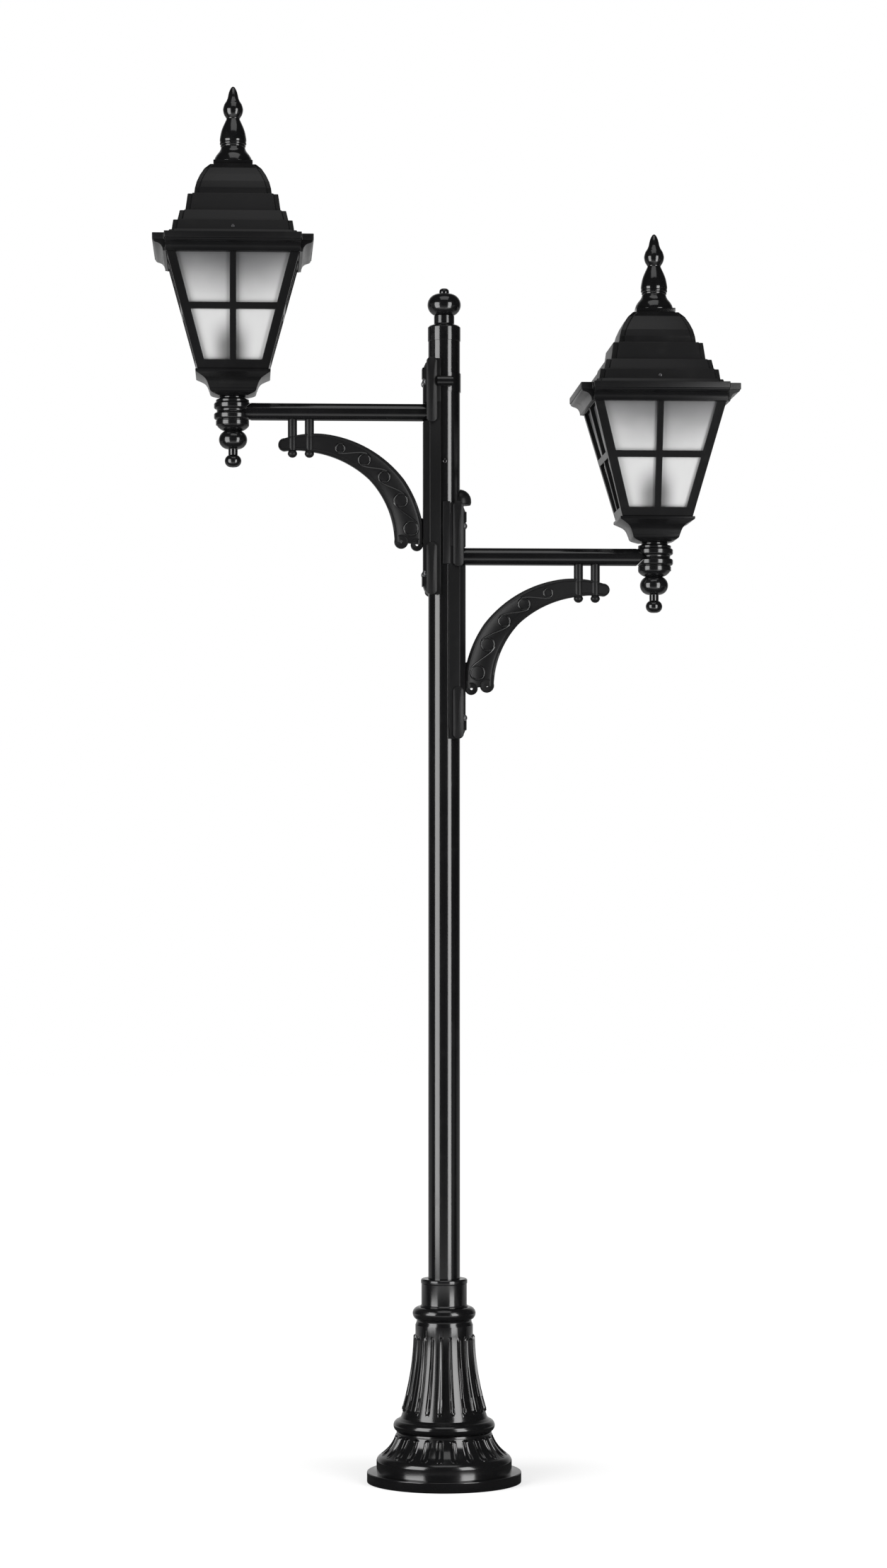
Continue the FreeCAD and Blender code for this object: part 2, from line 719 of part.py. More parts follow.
def pedestal_foot():
    name = "pedestal_foot"
    corners = [
        (cavity_out, ZERO), (foot_out, ZERO), (foot_out, d.foot_height - d.foot_edge),
        (foot_out - d.foot_edge, d.foot_height), (step_out, d.foot_height),
        (step_out, step_level), (shoulder_out, shoulder_level),
        (cove_out, cove_level), (cove_out, foot_level),
        (cove_out - d.foot_wall, foot_level), (cavity_out, d.cavity_height),
    ]
    body = turned(name + "_turned", corners, FOOT_BOW_SHARES)
    # A flute is a rod along the cove's slope with a ball at each end, sunk by its depth under the cove's bow.
    run_out, run_up = shoulder_out - cove_out, cove_level - shoulder_level
    slope = math.degrees(math.atan2(-run_out.value, run_up.value))
    run = root(run_out * run_out + run_up * run_up)
    proud = d.flute_radius - d.flute_depth + run * (FOOT_BOW_SHARES[6] / 2)
    length = run * FLUTE_LENGTH_SHARE
    start = (cove_out + run_out * FLUTE_START_SHARES[0] + proud * cosine(slope),
             shoulder_level + run_up * FLUTE_START_SHARES[1] - proud * sine(slope))
    end = (start[0] + length * sine(slope), start[1] + length * cosine(slope))
    cutters = []
    for number in range(FLUTES):
        turn = 360.0 * (number + 0.5) / FLUTES
        tilt = FreeCAD.Rotation(Z, turn).multiply(FreeCAD.Rotation(Y, slope))
        shaft = solid("Cylinder", "%s_flute_%d" % (name, number), Radius=d.flute_radius, Height=length)
        shaft.Placement = FreeCAD.Placement(V(), tilt)
        tips = [solid("Sphere", "%s_flute_%d_%d" % (name, number, tip), Radius=d.flute_radius)
                for tip in (0, 1)]
        for item, (out, up) in ((shaft, start), (tips[0], start), (tips[1], end)):
            item.setExpression("Placement.Base.x", (out * cosine(turn)).formula)
            item.setExpression("Placement.Base.y", (out * sine(turn)).formula)
            item.setExpression("Placement.Base.z", up.formula)
        cutters += [shaft] + tips
    piece(name, cut(name, body, fused(name + "_flutes", cutters)))


def pedestal_bell():
    name = "pedestal_bell"
    bore = d.pole_radius + d.fit_gap
    ring_foot = foot_level
    corners = [
        (cove_out - d.foot_wall, ring_foot), (cove_out - d.foot_edge, ring_foot),
        (cove_out - d.foot_edge, ring_foot + d.ring_height), (bell_foot_out, bell_foot_level),
        (neck_out, neck_level), (neck_out, band_level),
        (groove_out, groove_level), (groove_out, torus_level),
        (groove_out - d.foot_edge, bell_level), (bore, bell_level), (bore, neck_level + d.bore_height),
        (neck_out - d.bell_wall, neck_level),
        (bell_foot_out - d.bell_wall, bell_foot_level),
    ]
    body = turned(name, corners, BELL_BOW_SHARES)
    # A rib is a sector of a second turned form that follows the bell's curve and stands proud of it.
    foot = bell_foot_level + d.rib_foot
    share = (neck_level - foot) / (neck_level - bell_foot_level)
    rib_out = neck_out + (bell_foot_out - neck_out) * share * RIB_FOOT_SHARE
    profile = outline(body, name + "_rib", "XZ_Plane", [
        (rib_out - d.rib_root, foot), (rib_out + d.rib_proud, foot), (neck_out + d.rib_proud, neck_level),
        (neck_out - d.rib_root, neck_level)], RIB_BOW_SHARES)
    rib = body.newObject("PartDesign::Revolution", name + "_rib_turn")
    rib.Profile = (profile, [""])
    rib.ReferenceAxis = (profile, ["V_Axis"])
    rib.Angle = RIB_TURN
    rib.Midplane = True
    repeated(body, rib, RIBS)
    piece(name, body)


def pole_collar():
    name = "pole_collar"
    bore = d.pole_radius + d.fit_gap
    bead = collar_out + d.collar_bead
    rim_level, top, screw_level = (bell_level + rise for rise in (d.rim_height, d.collar_top,
                                                                  d.set_screw_height))
    body = turned(name + "_ring", [
        (bore, bell_level), (bead, bell_level), (bead, bell_level + d.collar_bead),
        (collar_out, bell_level + d.collar_bead * 2), (collar_out, rim_level - d.collar_rim * 2),
        (collar_out + d.collar_rim, rim_level),
        (collar_out + d.collar_rim, top - d.collar_bead),
        (collar_out - d.collar_bead, top), (bore, top),
    ], COLLAR_BOW_SHARES)
    holes = [radial_rod("%s_hole_%d" % (name, number), d.set_screw_radius + d.thread_gap, ZERO,
                        collar_out + d.overrun, turn, screw_level)
             for number, turn in enumerate(SET_SCREW_TURNS)]
    piece(name, cut(name, body, fused(name + "_holes", holes)))
    screws = [radial_rod("collar_screw_%d" % number, d.set_screw_radius, d.pole_radius + d.thread_gap,
                         collar_out - d.pole_radius - d.thread_gap, turn, screw_level)
              for number, turn in enumerate(SET_SCREW_TURNS)]
    piece("collar_screws", group("collar_screws", screws))


def pole_cap():
    name = "pole_cap"
    top = pole_level + d.cap_band
    neck_top = top + d.cap_slope * 2 + d.cap_neck
    spigot = d.pole_radius - d.pole_wall - d.fit_gap
    band, neck = d.pole_radius + d.cap_radius, d.pole_radius - d.cap_neck_radius
    piece(name, turned(name, [
        (ZERO, pole_level - d.spigot_depth), (spigot, pole_level - d.spigot_depth), (spigot, pole_level),
        (band, pole_level), (band, top), (band - d.cap_slope, top + d.cap_slope),
        (neck, top + d.cap_slope * 2), (neck, neck_top),
        (d.stud_radius + d.thread_gap, neck_top), (d.stud_radius + d.thread_gap, neck_top - d.stud_depth),
        (ZERO, neck_top - d.stud_depth),
    ]))
    button = neck_top + d.ball_height
    piece("cap_ball", turned("cap_ball", [
        (ZERO, neck_top - d.stud_depth), (d.stud_radius, neck_top - d.stud_depth), (d.stud_radius, neck_top),
        (d.ball_foot_radius, neck_top), (d.button_radius, button),
        (d.button_radius, button + d.button_height * BUTTON_WALL_SHARE),
        (d.button_radius * EYE_SHARE, button + d.button_height), (ZERO, button + d.button_height),
    ], BALL_BOW_SHARES))


def wall_rail(arm, level, way):
    """Saddle that clasps the pole, with a thicker pad at each end of both cheeks. Its arm points along +X."""
    name = arm + "_wall_rail"
    body = new_body(name + "_saddle")
    facet_web = (facet_face - rail_face * cosine(FACET_TURN)) / sine(FACET_TURN)
    facet_cheek = (facet_face - cheek_face * sine(FACET_TURN)) / cosine(FACET_TURN)
    half = [(d.cheek_edge, cheek_face), (facet_cheek, cheek_face), (rail_face, facet_web)]
    section = [(x, -y) for x, y in half] + half[::-1]
    padded(body, outline(body, name + "_section", "XY_Plane", section, lift=-d.rail_foot),
           d.rail_top + d.rail_foot)
    depth = (cheek_face + d.pad_proud) * 2
    round_end = d.pad_width * PAD_END_SHARE
    for spot, top, foot in (("upper", upper_pad_level, upper_pad_base),
                            ("lower", lower_pad_level, lower_pad_base)):
        pill = outline(body, "%s_%s_pad" % (name, spot), "XZ_Plane", [
            (pad_left, foot + round_end), (pad_right, foot + round_end), (pad_right, top - round_end),
            (pad_left, top - round_end),
        ], PAD_BOW_SHARES)
        padded(body, pill, depth, both=True)
    extra = [body]
    for spot, foot in (("upper", d.rail_top - d.lip_length), ("lower", -d.rail_foot)):
        extra.append(block("%s_%s_lip" % (name, spot), (rail_face - d.overrun, -facet_web, foot),
                           (rail_face + d.lip_proud, facet_web, foot + d.lip_length)))
    if arm == "lower":
        dome = solid("Sphere", name + "_knob", at=(d.pole_radius, d.dome_offset, d.rail_top + d.cheek_edge),
                     Radius=d.dome_radius)
        shelf = block(name + "_knob_side", (ZERO, -cheek_face, d.rail_top - d.overrun),
                      (d.arm_reach, d.arm_reach, d.arm_reach))
        extra.append(common(name + "_dome", [dome, shelf]))
        extra.append(block(name + "_tongue", (-d.tongue_edge, -cheek_face, -d.tongue_foot),
                           (d.cheek_edge + d.overrun, -d.pole_radius * TONGUE_SHARE, upper_pad_level)))
    whole = fused(name + "_whole", extra)
    tall = d.rail_top + d.rail_foot + d.dome_radius * 4
    tools = [
        rod(name + "_pole_seat", d.pole_radius + d.fit_gap, (ZERO, ZERO, lower_pad_base - d.overrun), tall),
        rod(name + "_standoff", standoff_out, (ZERO, ZERO, lower_pad_level + d.pad_width / 2),
            upper_pad_base - lower_pad_level - d.pad_width),
        rod(name + "_arm_seat", d.arm_radius + d.fit_gap, (ZERO, ZERO, ZERO), rail_face + d.overrun * 2,
            Y, 90.0),
        block(name + "_arm_notch", (pad_right, -cheek_face - d.overrun, -d.arm_radius - d.fit_gap),
              (rail_face + d.overrun * 2, cheek_face + d.overrun, d.arm_radius + d.fit_gap)),
    ]
    for number, (turn, drop) in enumerate(screw_places()):
        tools.append(radial_rod("%s_screw_hole_%d" % (name, number), d.rail_screw_radius + d.thread_gap, ZERO,
                                facet_face + d.overrun, turn, drop))
        tools.append(radial_rod("%s_spot_face_%d" % (name, number), d.rail_screw_head + d.fit_gap,
                                facet_face, d.rail_screw_proud * 2, turn, drop))
    rail = cut(name, whole, fused(name + "_tools", tools))
    piece(name, place(rail, z=level, turn=way))


def screw_places():
    return ((FACET_TURN, upper_screw_level), (-FACET_TURN, upper_screw_level),
            (FACET_TURN, lower_screw_level), (-FACET_TURN, lower_screw_level))


def rail_screws(arm, level, way):
    """Dome-head screws on the slanted facets, through the rail and the pole's wall."""
    name = arm + "_rail_screws"
    tip = d.pole_radius - d.rail_screw_tip
    screws = []
    for number, (turn, drop) in enumerate(screw_places()):
        each = "%s_%d" % (name, number)
        body = turned(each, [
            (ZERO, tip), (d.rail_screw_radius, tip),
            (d.rail_screw_radius, facet_face), (d.rail_screw_head, facet_face),
            (d.rail_screw_head * EYE_SHARE, facet_face + d.rail_screw_proud),
            (ZERO, facet_face + d.rail_screw_proud),
        ], RAIL_SCREW_BOW_SHARES)
        tilt = FreeCAD.Rotation(Z, turn).multiply(FreeCAD.Rotation(Y, 90.0))
        body.Placement = FreeCAD.Placement(point(0, 0, drop), tilt)
        body.setExpression("Placement.Base.z", drop.formula)
        screws.append(body)
    piece(name, place(group(name, screws), z=level, turn=way))


def clamp_band(arm, level, way):
    """Strap round the pole between the rail's cheeks, drawn tight by a thick round bolt beside one cheek."""
    name = arm + "_clamp_band"
    low = upper_screw_level - d.band_width / 2
    inner, outer = d.pole_radius + d.fit_gap, d.pole_radius + d.fit_gap + d.band_thickness
    ring = cut(name + "_ring", rod(name + "_outside", outer, (ZERO, ZERO, low), d.band_width),
               rod(name + "_inside", inner, (ZERO, ZERO, low - d.overrun), d.band_width + d.overrun * 2))
    tools = [block(name + "_rail_side", (d.cheek_edge, -outer - d.overrun, low - d.overrun),
                   (outer + d.overrun, outer + d.overrun, low + d.band_width + d.overrun))]
    if arm == "lower":
        tools.append(block(name + "_tongue_side", (-d.tongue_edge, -outer - d.overrun, low - d.overrun),
                           (outer + d.overrun, ZERO, low + d.band_width + d.overrun)))
    strap = cut(name, ring, fused(name + "_ends", tools))
    piece(name, place(strap, z=level, turn=way))
    name = arm + "_clamp_bolt"
    centre = d.pole_radius + d.clamp_bolt_centre
    end = d.clamp_bolt_end if arm == "upper" else d.cheek_edge - d.fit_gap
    bolt = rod(name + "_round", d.clamp_bolt_radius, (-end, centre, upper_screw_level), end + pad_left,
               Y, 90.0)
    tools = [
        rod(name + "_band_seat", outer + d.fit_gap, (ZERO, ZERO, upper_screw_level - d.band_width),
            d.band_width * 2),
        block(name + "_cheek_seat", (d.cheek_edge, ZERO, upper_screw_level - d.band_width),
              (pad_left + d.overrun, cheek_face, upper_screw_level + d.band_width)),
    ]
    piece(name, place(cut(name, bolt, fused(name + "_tools", tools)), z=level, turn=way))


def arm_tube(arm, level, way):
    """Tube from the pole to the socket, coped round the pole and pointed where it runs into the socket."""
    name = arm + "_arm_tube"
    outside = rod(name + "_outside", d.arm_radius, (ZERO, ZERO, ZERO), d.arm_reach, Y, 90.0)
    bore = rod(name + "_bore", d.arm_radius - d.arm_wall, (ZERO, ZERO, ZERO), d.arm_reach, Y, 90.0)
    tall = d.arm_radius * 4
    tools = fused(name + "_tools", [
        bore,
        rod(name + "_pole_seat", d.pole_radius + d.fit_gap, (ZERO, ZERO, -tall / 2), tall),
        rod(name + "_core_seat", core_out + d.fit_gap, (d.arm_reach, ZERO, -tall / 2), tall),
    ])
    point_end = common(name + "_pointed", [outside, arm_point(name, d.arm_reach)])
    piece(name, place(cut(name, point_end, tools), z=level, turn=way))


def arm_point(name, reach):
    """A wedge that opens from the socket towards the pole at 45 degrees up and down."""
    far = reach - d.notch_tip - reach * math.sqrt(2.0)
    return solid("Box", name + "_wedge", at=(far, -reach / 2, ZERO), about=Y, turn=45.0, Length=reach,
                 Width=reach, Height=reach)


def brace_point(share_out, share_down):
    return V(value_of(d.brace_reach) * share_out, 0, -value_of(d.brace_drop) * share_down)


def brace_outline(margin, depth):
    """Outline of the curved brace, drawn in by a margin, extruded from its middle plane to both sides."""
    def arcs(shares, shift):
        points = [brace_point(*share) for share in shares]
        centre = brace_point(*BRACE_CENTRE_SHARES)
        moved = [p + (centre - p).normalize() * (shift * margin) for p in points]
        return [Part.Arc(*moved[i:i + 3]).toShape() for i in range(0, len(moved) - 2, 2)], moved
    outer, outer_points = arcs(OUTER_EDGE_SHARES, 1)
    inner, inner_points = arcs(INNER_EDGE_SHARES, -1)
    tip_start, tip_end = inner_points[-1], outer_points[0]
    bow = (tip_start + tip_end) * 0.5 + V((tip_start - tip_end).Length / 2, 0, 0)
    edges = outer + [Part.makeLine(outer_points[-1], inner_points[0])] + inner
    edges.append(Part.Arc(tip_start, bow, tip_end).toShape())
    face = Part.Face(Part.Wire(Part.__sortEdges__(edges)))
    face.translate(V(0, -depth / 2, 0))
    return face.extrude(V(0, depth, 0))


def curved_brace(arm, level, way):
    """Plate with a raised rim, rings and two lobes, bored for the two pins and resting on the rail's web."""
    name = arm + "_curved_brace"
    thickness, rim = SIZES["brace_thickness"], SIZES["brace_rim"]
    plate = brace_outline(0.0, thickness + 2 * rim)
    panel = brace_outline(SIZES["brace_rim_width"], thickness * 4)
    core = brace_outline(0.0, thickness)
    body = plate.cut(panel).fuse(core)
    drop = SIZES["brace_drop"]
    for out, down, radius in LOBE_SHARES:
        at = brace_point(out, down)
        body = body.fuse(cross_cylinder(at, radius * drop, thickness))
    for out, down, radius in RING_SHARES:
        at = brace_point(out, down)
        ring = cross_cylinder(at, radius * drop, thickness + 2 * SIZES["ring_proud"])
        ring = ring.cut(cross_cylinder(at, radius * drop - SIZES["ring_wall"], thickness * 4))
        body = body.fuse(ring)
    pins = (outer_pin_out.value, inner_pin_out.value)
    for reach in pins:
        boss = Part.makeCylinder(SIZES["pin_radius"], SIZES["pin_boss_foot"] - SIZES["pin_boss_top"],
                                 V(reach, 0, -SIZES["pin_boss_foot"]))
        body = body.fuse(boss)
    last, lug = brace_point(*LUG_SHARES), rail_face.value
    foot = Part.makeBox(last.x + SIZES["brace_rim_width"] - lug, thickness, thickness * 2,
                        V(lug, -thickness / 2, last.z - thickness))
    body = body.fuse(foot)
    for reach in pins:
        body = body.cut(Part.makeCylinder(SIZES["pin_shank"] + SIZES["thread_gap"], drop, V(reach, 0, -drop)))
        room = SIZES["pin_ball"] + SIZES["fit_gap"]
        body = body.cut(Part.makeCylinder(room, SIZES["pin_boss_top"], V(reach, 0, -SIZES["pin_boss_top"])))
        body = body.cut(Part.makeCylinder(room, drop, V(reach, 0, -SIZES["pin_boss_foot"] - drop)))
    for out, down, radius in LOBE_SHARES:
        at = brace_point(out, down)
        body = body.cut(cross_cylinder(at, radius * drop * EYE_SHARE, thickness * 2))
    body = body.cut(Part.makeBox(drop, drop, drop * 2, V(lug - drop, -drop / 2, -drop * 1.5)))
    piece(name, place(made(name, body.removeSplitter()), z=level, turn=way))


def cross_cylinder(at, radius, depth):
    """A cylinder across the brace, centred on its middle plane."""
    return Part.makeCylinder(radius, depth, at - V(0, depth / 2, 0), Y)


def brace_pins(arm, level, way):
    """Two pins that hang the brace from its arm: a spacer above, a shank in the boss and a ball below."""
    name = arm + "_brace_pins"
    pins = []
    for spot, reach in (("outer", outer_pin_out), ("inner", inner_pin_out)):
        each = "%s_%s" % (name, spot)
        body = turned(each, [
            (ZERO, -d.pin_boss_foot - d.pin_ball * PIN_BALL_SHARES[0]),
            (d.pin_ball, -d.pin_boss_foot - d.pin_ball * PIN_BALL_SHARES[1]),
            (d.pin_ball * PIN_BALL_SHARES[2], -d.pin_boss_foot), (d.pin_shank, -d.pin_boss_foot),
            (d.pin_shank, -d.pin_boss_top), (d.pin_radius, -d.pin_boss_top), (d.pin_radius, ZERO),
            (ZERO, ZERO),
        ], PIN_BOW_SHARES)
        pins.append(cut(each + "_coped", place(body, x=reach),
                        rod(each + "_arm_seat", d.arm_radius + d.fit_gap,
                            (inner_pin_out - d.pin_radius * 4, ZERO, ZERO), d.arm_reach, Y, 90.0)))
    piece(name, place(group(name, pins), z=level, turn=way))


def lantern_socket(arm, level, way):
    """Ringed socket at the arm's end, with a hollow nipple through the tray. Its arm comes from -X."""
    name = arm + "_lantern_socket"
    rings = turned(name + "_rings", [
        (ZERO, -d.step_ring_foot), (socket_step_out - d.foot_edge, -d.step_ring_foot),
        (socket_step_out, -d.low_ring_foot - d.foot_edge), (socket_ring_out, -d.low_ring_foot),
        (socket_ring_out, -d.low_ring_top), (socket_step_out, ZERO), (socket_ring_out, d.ring_foot),
        (socket_ring_out, d.ring_top), (socket_step_out, d.ring_top + d.foot_edge),
        (socket_step_out - d.foot_edge, d.socket_neck_foot), (socket_neck_out, d.socket_neck_foot),
        (socket_neck_out, d.tray_foot), (ZERO, d.tray_foot),
    ], SOCKET_BOW_SHARES)
    core = rod(name + "_core", core_out, (ZERO, ZERO, -d.low_ring_foot), d.low_ring_foot + d.tray_foot)
    nipple = rod(name + "_nipple", d.nipple_radius, (ZERO, ZERO, ZERO), nipple_level)
    wedge = place(solid("Box", name + "_wedge", Length=d.arm_reach, Width=d.arm_reach, Height=d.arm_reach),
                  x=-d.notch_tip - d.arm_reach * math.sqrt(2.0), y=-d.arm_reach / 2, z=ZERO, about=Y,
                  turn=45.0)
    notched = cut(name + "_notched", rings, wedge)
    whole = fused(name + "_whole", [notched, core, nipple])
    tools = fused(name + "_tools", [
        rod(name + "_bore", d.socket_bore, (ZERO, ZERO, -d.low_ring_foot),
            d.low_ring_foot + d.socket_neck_foot),
        rod(name + "_nipple_bore", d.nipple_bore, (ZERO, ZERO, ZERO), nipple_level + d.overrun),
        rod(name + "_entry", d.cable_hole, (ZERO, ZERO, ZERO), core_out + d.overrun, Y, -90.0),
        rod(name + "_stud_bore", d.stud_radius + d.thread_gap, (ZERO, ZERO, -d.step_ring_foot - d.overrun),
            d.step_ring_foot),
    ])
    socket = cut(name, whole, tools)
    piece(name, place(socket, x=d.arm_reach * cosine(way), z=level, turn=way))


def pendant(arm, level, lantern_x):
    """Turned drop under the socket, screwed into it by a stud."""
    name = arm + "_pendant"
    top = -d.step_ring_foot
    body = turned(name, [
        (ZERO, -d.pendant_end), (d.pendant_stem, -d.stem_end), (d.pendant_stem, -d.pendant_ball_end),
        (d.pendant_waist, -d.pendant_cone), (socket_step_out - d.foot_edge, top), (d.stud_radius, top),
        (d.stud_radius, top + d.stud_depth - d.foot_edge), (ZERO, top + d.stud_depth - d.foot_edge),
    ], PENDANT_BOW_SHARES)
    piece(name, place(body, x=lantern_x, z=level))


def lantern_tray(arm, level, lantern_x):
    """Ogee bowl that carries the frames, with a floor for the lamp holder."""
    name = arm + "_lantern_tray"
    rise = lip_level - d.tray_foot
    spread = lip_half - d.tray_foot_half
    wall = SIZES["tray_wall"]
    steps = [(d.tray_foot_half + spread * wide, d.tray_foot + rise * high) for wide, high in OGEE_SHARES]
    outer = stacked([square_wire(half, z) for half, z in steps] + [square_wire(lip_half, tray_level)])
    inner_half = d.frame_foot_half - d.frame_wall
    first = steps[1][0].value - wall
    inside = [square_wire(first, floor_level)] + [square_wire(min(half.value - wall, inner_half.value), z)
                                            for half, z in steps[2:] if z.value > floor_level.value]
    inside.append(square_wire(inner_half, tray_level + d.overrun))
    bore = Part.makeCylinder(SIZES["nipple_radius"] + SIZES["thread_gap"], value_of(tray_level), V(0, 0, 0))
    shape = outer.cut(stacked(inside)).cut(bore)
    piece(name, place(made(name, shape), x=lantern_x, z=level))


def half_at(height, inset=ZERO):
    """Half width of the frames' outside at a height, less an inset."""
    slope = (d.frame_top_half - d.frame_foot_half) / (frame_level - tray_level)
    return d.frame_foot_half + slope * (height - tray_level) - inset


def sloped_panel(name, foot, head, outside, thickness, ends):
    """A panel on the -Y side that leans with the lantern's taper. Its ends are mitred when ends is zero."""
    body = new_body(name)
    sections = []
    for spot, height in (("foot", foot), ("head", head)):
        front, back = half_at(height, outside), half_at(height, outside + thickness)
        wide, narrow = (front, back) if ends is ZERO else (back - ends, back - ends)
        sections.append(outline(body, "%s_%s" % (name, spot), "XY_Plane", [
            (-wide, -front), (wide, -front), (narrow, -back), (-narrow, -back)], lift=height))
    loft = body.newObject("PartDesign::AdditiveLoft", name + "_loft")
    loft.Profile = (sections[0], [""])
    loft.Sections = [(sections[1], [""])]
    loft.Ruled = True
    return body


def side_frame(arm, level, lantern_x, side, number):
    """One cast side of the lantern: stiles, rails and a cross that leaves four openings."""
    name = "%s_%s_frame" % (arm, side)
    body = sloped_panel(name, tray_level, frame_level, ZERO, d.frame_wall, ZERO)
    low, high = cross_level - d.cross_width / 2, cross_level + d.cross_width / 2
    middle = d.cross_width / 2
    for spot, foot, head in (("low", pane_foot_level, low), ("high", high, pane_head_level)):
        for hand, sign in (("left", -1), ("right", 1)):
            window = outline(body, "%s_%s_%s" % (name, spot, hand), "XZ_Plane", [
                (middle * sign, foot), (half_at(foot, d.stile_width) * sign, foot),
                (half_at(head, d.stile_width) * sign, head), (middle * sign, head)])
            pocketed(body, window, ring_half * 4, both=True)
    piece(name, place(body, x=lantern_x, z=level, turn=90.0 * number))


def panes(arm, level, lantern_x):
    """Four frosted panes behind the side frames."""
    name = arm + "_panes"
    sheets = []
    for number in range(SIDES):
        body = sloped_panel("%s_%d" % (name, number), tray_level + d.pane_seat, frame_level - d.pane_edge,
                            d.frame_wall, d.pane_thickness, d.pane_edge)
        sheets.append(place(body, turn=90.0 * number))
    piece(name, place(group(name, sheets), x=lantern_x, z=level))


def top_ring(arm, level, lantern_x):
    """Square ring on the frames, with an upstand inside the roof and two hinge ears behind."""
    name = arm + "_top_ring"
    slab = square_ring(name + "_frieze", ring_half, ring_inner_half, frame_level, d.top_ring_height)
    upstand = square_ring(name + "_upstand", upstand_out, upstand_out - d.upstand_wall,
                          slab_level, upstand_level - slab_level)
    solids, holes = [slab, upstand], []
    inner = d.knuckle_length / 2 + d.swing_gap
    for hand, left in (("left", -inner - d.ear_length), ("right", inner)):
        each = "%s_%s_ear" % (name, hand)
        back = hinge_out + d.knuckle_radius
        solids.append(block(each + "_arm", (left, ring_half - d.overrun, slab_level - d.ear_plate),
                            (left + d.ear_length, back, slab_level)))
        solids.append(block(each + "_post", (left, hinge_out - d.knuckle_radius + d.swing_gap, slab_level
                                             - d.ear_plate / 2),
                            (left + d.ear_length, back, hinge_level)))
        solids.append(rod(each + "_knuckle", d.knuckle_radius, (left, hinge_out, hinge_level),
                          d.ear_length, Y, 90.0))
    holes.append(rod(name + "_pin_bore", d.hinge_pin_radius + d.pin_gap,
                     (-inner - d.ear_length - d.overrun, hinge_out, hinge_level),
                     (inner + d.ear_length + d.overrun) * 2, Y, 90.0))
    ring = cut(name, fused(name + "_whole", solids), fused(name + "_holes", holes))
    piece(name, place(ring, x=lantern_x, z=level))
    name = arm + "_gasket"
    gasket = square_ring(name, gasket_out, gasket_out - d.gasket_width, slab_level, d.gasket_thickness)
    piece(name, place(gasket, x=lantern_x, z=level))
    name = arm + "_hinge_pin"
    reach, head = inner + d.ear_length, d.knuckle_radius * PIN_HEAD_SHARE
    pin = turned(name + "_turned", [
        (ZERO, -reach - d.hinge_head), (head, -reach - d.hinge_head),
        (head, -reach), (d.hinge_pin_radius, -reach), (d.hinge_pin_radius, reach),
        (head, reach), (head, reach + d.hinge_head),
        (ZERO, reach + d.hinge_head)])
    place(pin, y=hinge_out, z=hinge_level, about=Y, turn=90.0)
    piece(name, place(group(name, [pin]), x=lantern_x, z=level))


def roof(arm, level, lantern_x):
    """Hollow roof of notched courses under a convex dome, with a hinge knuckle behind its fascia."""
    name = arm + "_roof"
    rise = dome_foot_level - fascia_top_level
    notch = SIZES["course_notch"]
    wall = SIZES["roof_wall"]
    solids = [stacked([notched_wire(fascia_out, d.fascia_notch, fascia_level),
                       notched_wire(fascia_out, d.fascia_notch, fascia_top_level)])]
    inner_half = fascia_out.value * COURSE_SHARES[0][1] - notch - wall
    hollow = [stacked([square_wire(inner_half, fascia_level - d.overrun),
                       square_wire(inner_half, fascia_top_level)])]
    foot = fascia_top_level
    for number, (wide, narrow, head_share) in enumerate(COURSE_SHARES):
        head = fascia_top_level + rise * head_share
        solids.append(stacked([notched_wire(fascia_out * wide, notch, foot),
                               notched_wire(fascia_out * narrow, notch, head)]))
        last = number == len(COURSE_SHARES) - 1
        over = dome_foot_out if last else fascia_out * COURSE_SHARES[number + 1][0]
        inner_half = fascia_out.value * narrow - notch - wall
        ceiling = head.value - (wall if last or over.value < inner_half else 0.0)
        hollow.append(stacked([square_wire(inner_half, foot.value - wall), square_wire(inner_half, ceiling)]))
        foot = head
    dome_rise = dome_level - dome_foot_level
    dome = [(dome_foot_out * wide, dome_foot_level + dome_rise * high) for wide, high in DOME_SHARES]
    solids.append(stacked([notched_wire(half, notch, z) for half, z in dome]))
    ceiling = dome_level.value - 2 * wall
    inside = [(half.value - notch - wall, z.value) for half, z in dome if z.value < ceiling]
    inside.insert(0, (inside[0][0], dome_foot_level.value - 2 * wall))
    hollow.append(stacked([square_wire(half, z) for half, z in inside]))
    shape = solids[0].multiFuse(solids[1:])
    shape = shape.cut(hollow[0].multiFuse(hollow[1:]))
    half_knuckle = d.knuckle_length.value / 2
    back, top = hinge_out.value, hinge_level.value
    leaf = Part.makeBox(d.knuckle_length.value, back - fascia_out.value + wall,
                        d.fascia_height.value, V(-half_knuckle, fascia_out.value - wall, fascia_level.value))
    barrel = Part.makeCylinder(d.knuckle_radius.value, d.knuckle_length.value, V(-half_knuckle, back, top), X)
    bore = Part.makeCylinder(d.hinge_pin_radius.value + d.pin_gap.value, d.knuckle_length.value * 2,
                             V(-2 * half_knuckle, back, top), X)
    shape = shape.multiFuse([leaf, barrel]).cut(bore)
    seat = fascia_out.value * COURSE_SHARES[1][0]
    screw_hole = Part.makeCylinder(d.roof_screw_radius.value + d.thread_gap.value, seat,
                                   V(0, -seat - wall, roof_screw_level.value), Y)
    stud_hole = Part.makeCylinder(d.finial_stud.value + d.thread_gap.value, d.finial_height.value,
                                  V(0, 0, ceiling - wall))
    shape = shape.cut(screw_hole).cut(stud_hole)
    piece(name, place(made(name, shape.removeSplitter()), x=lantern_x, z=level))


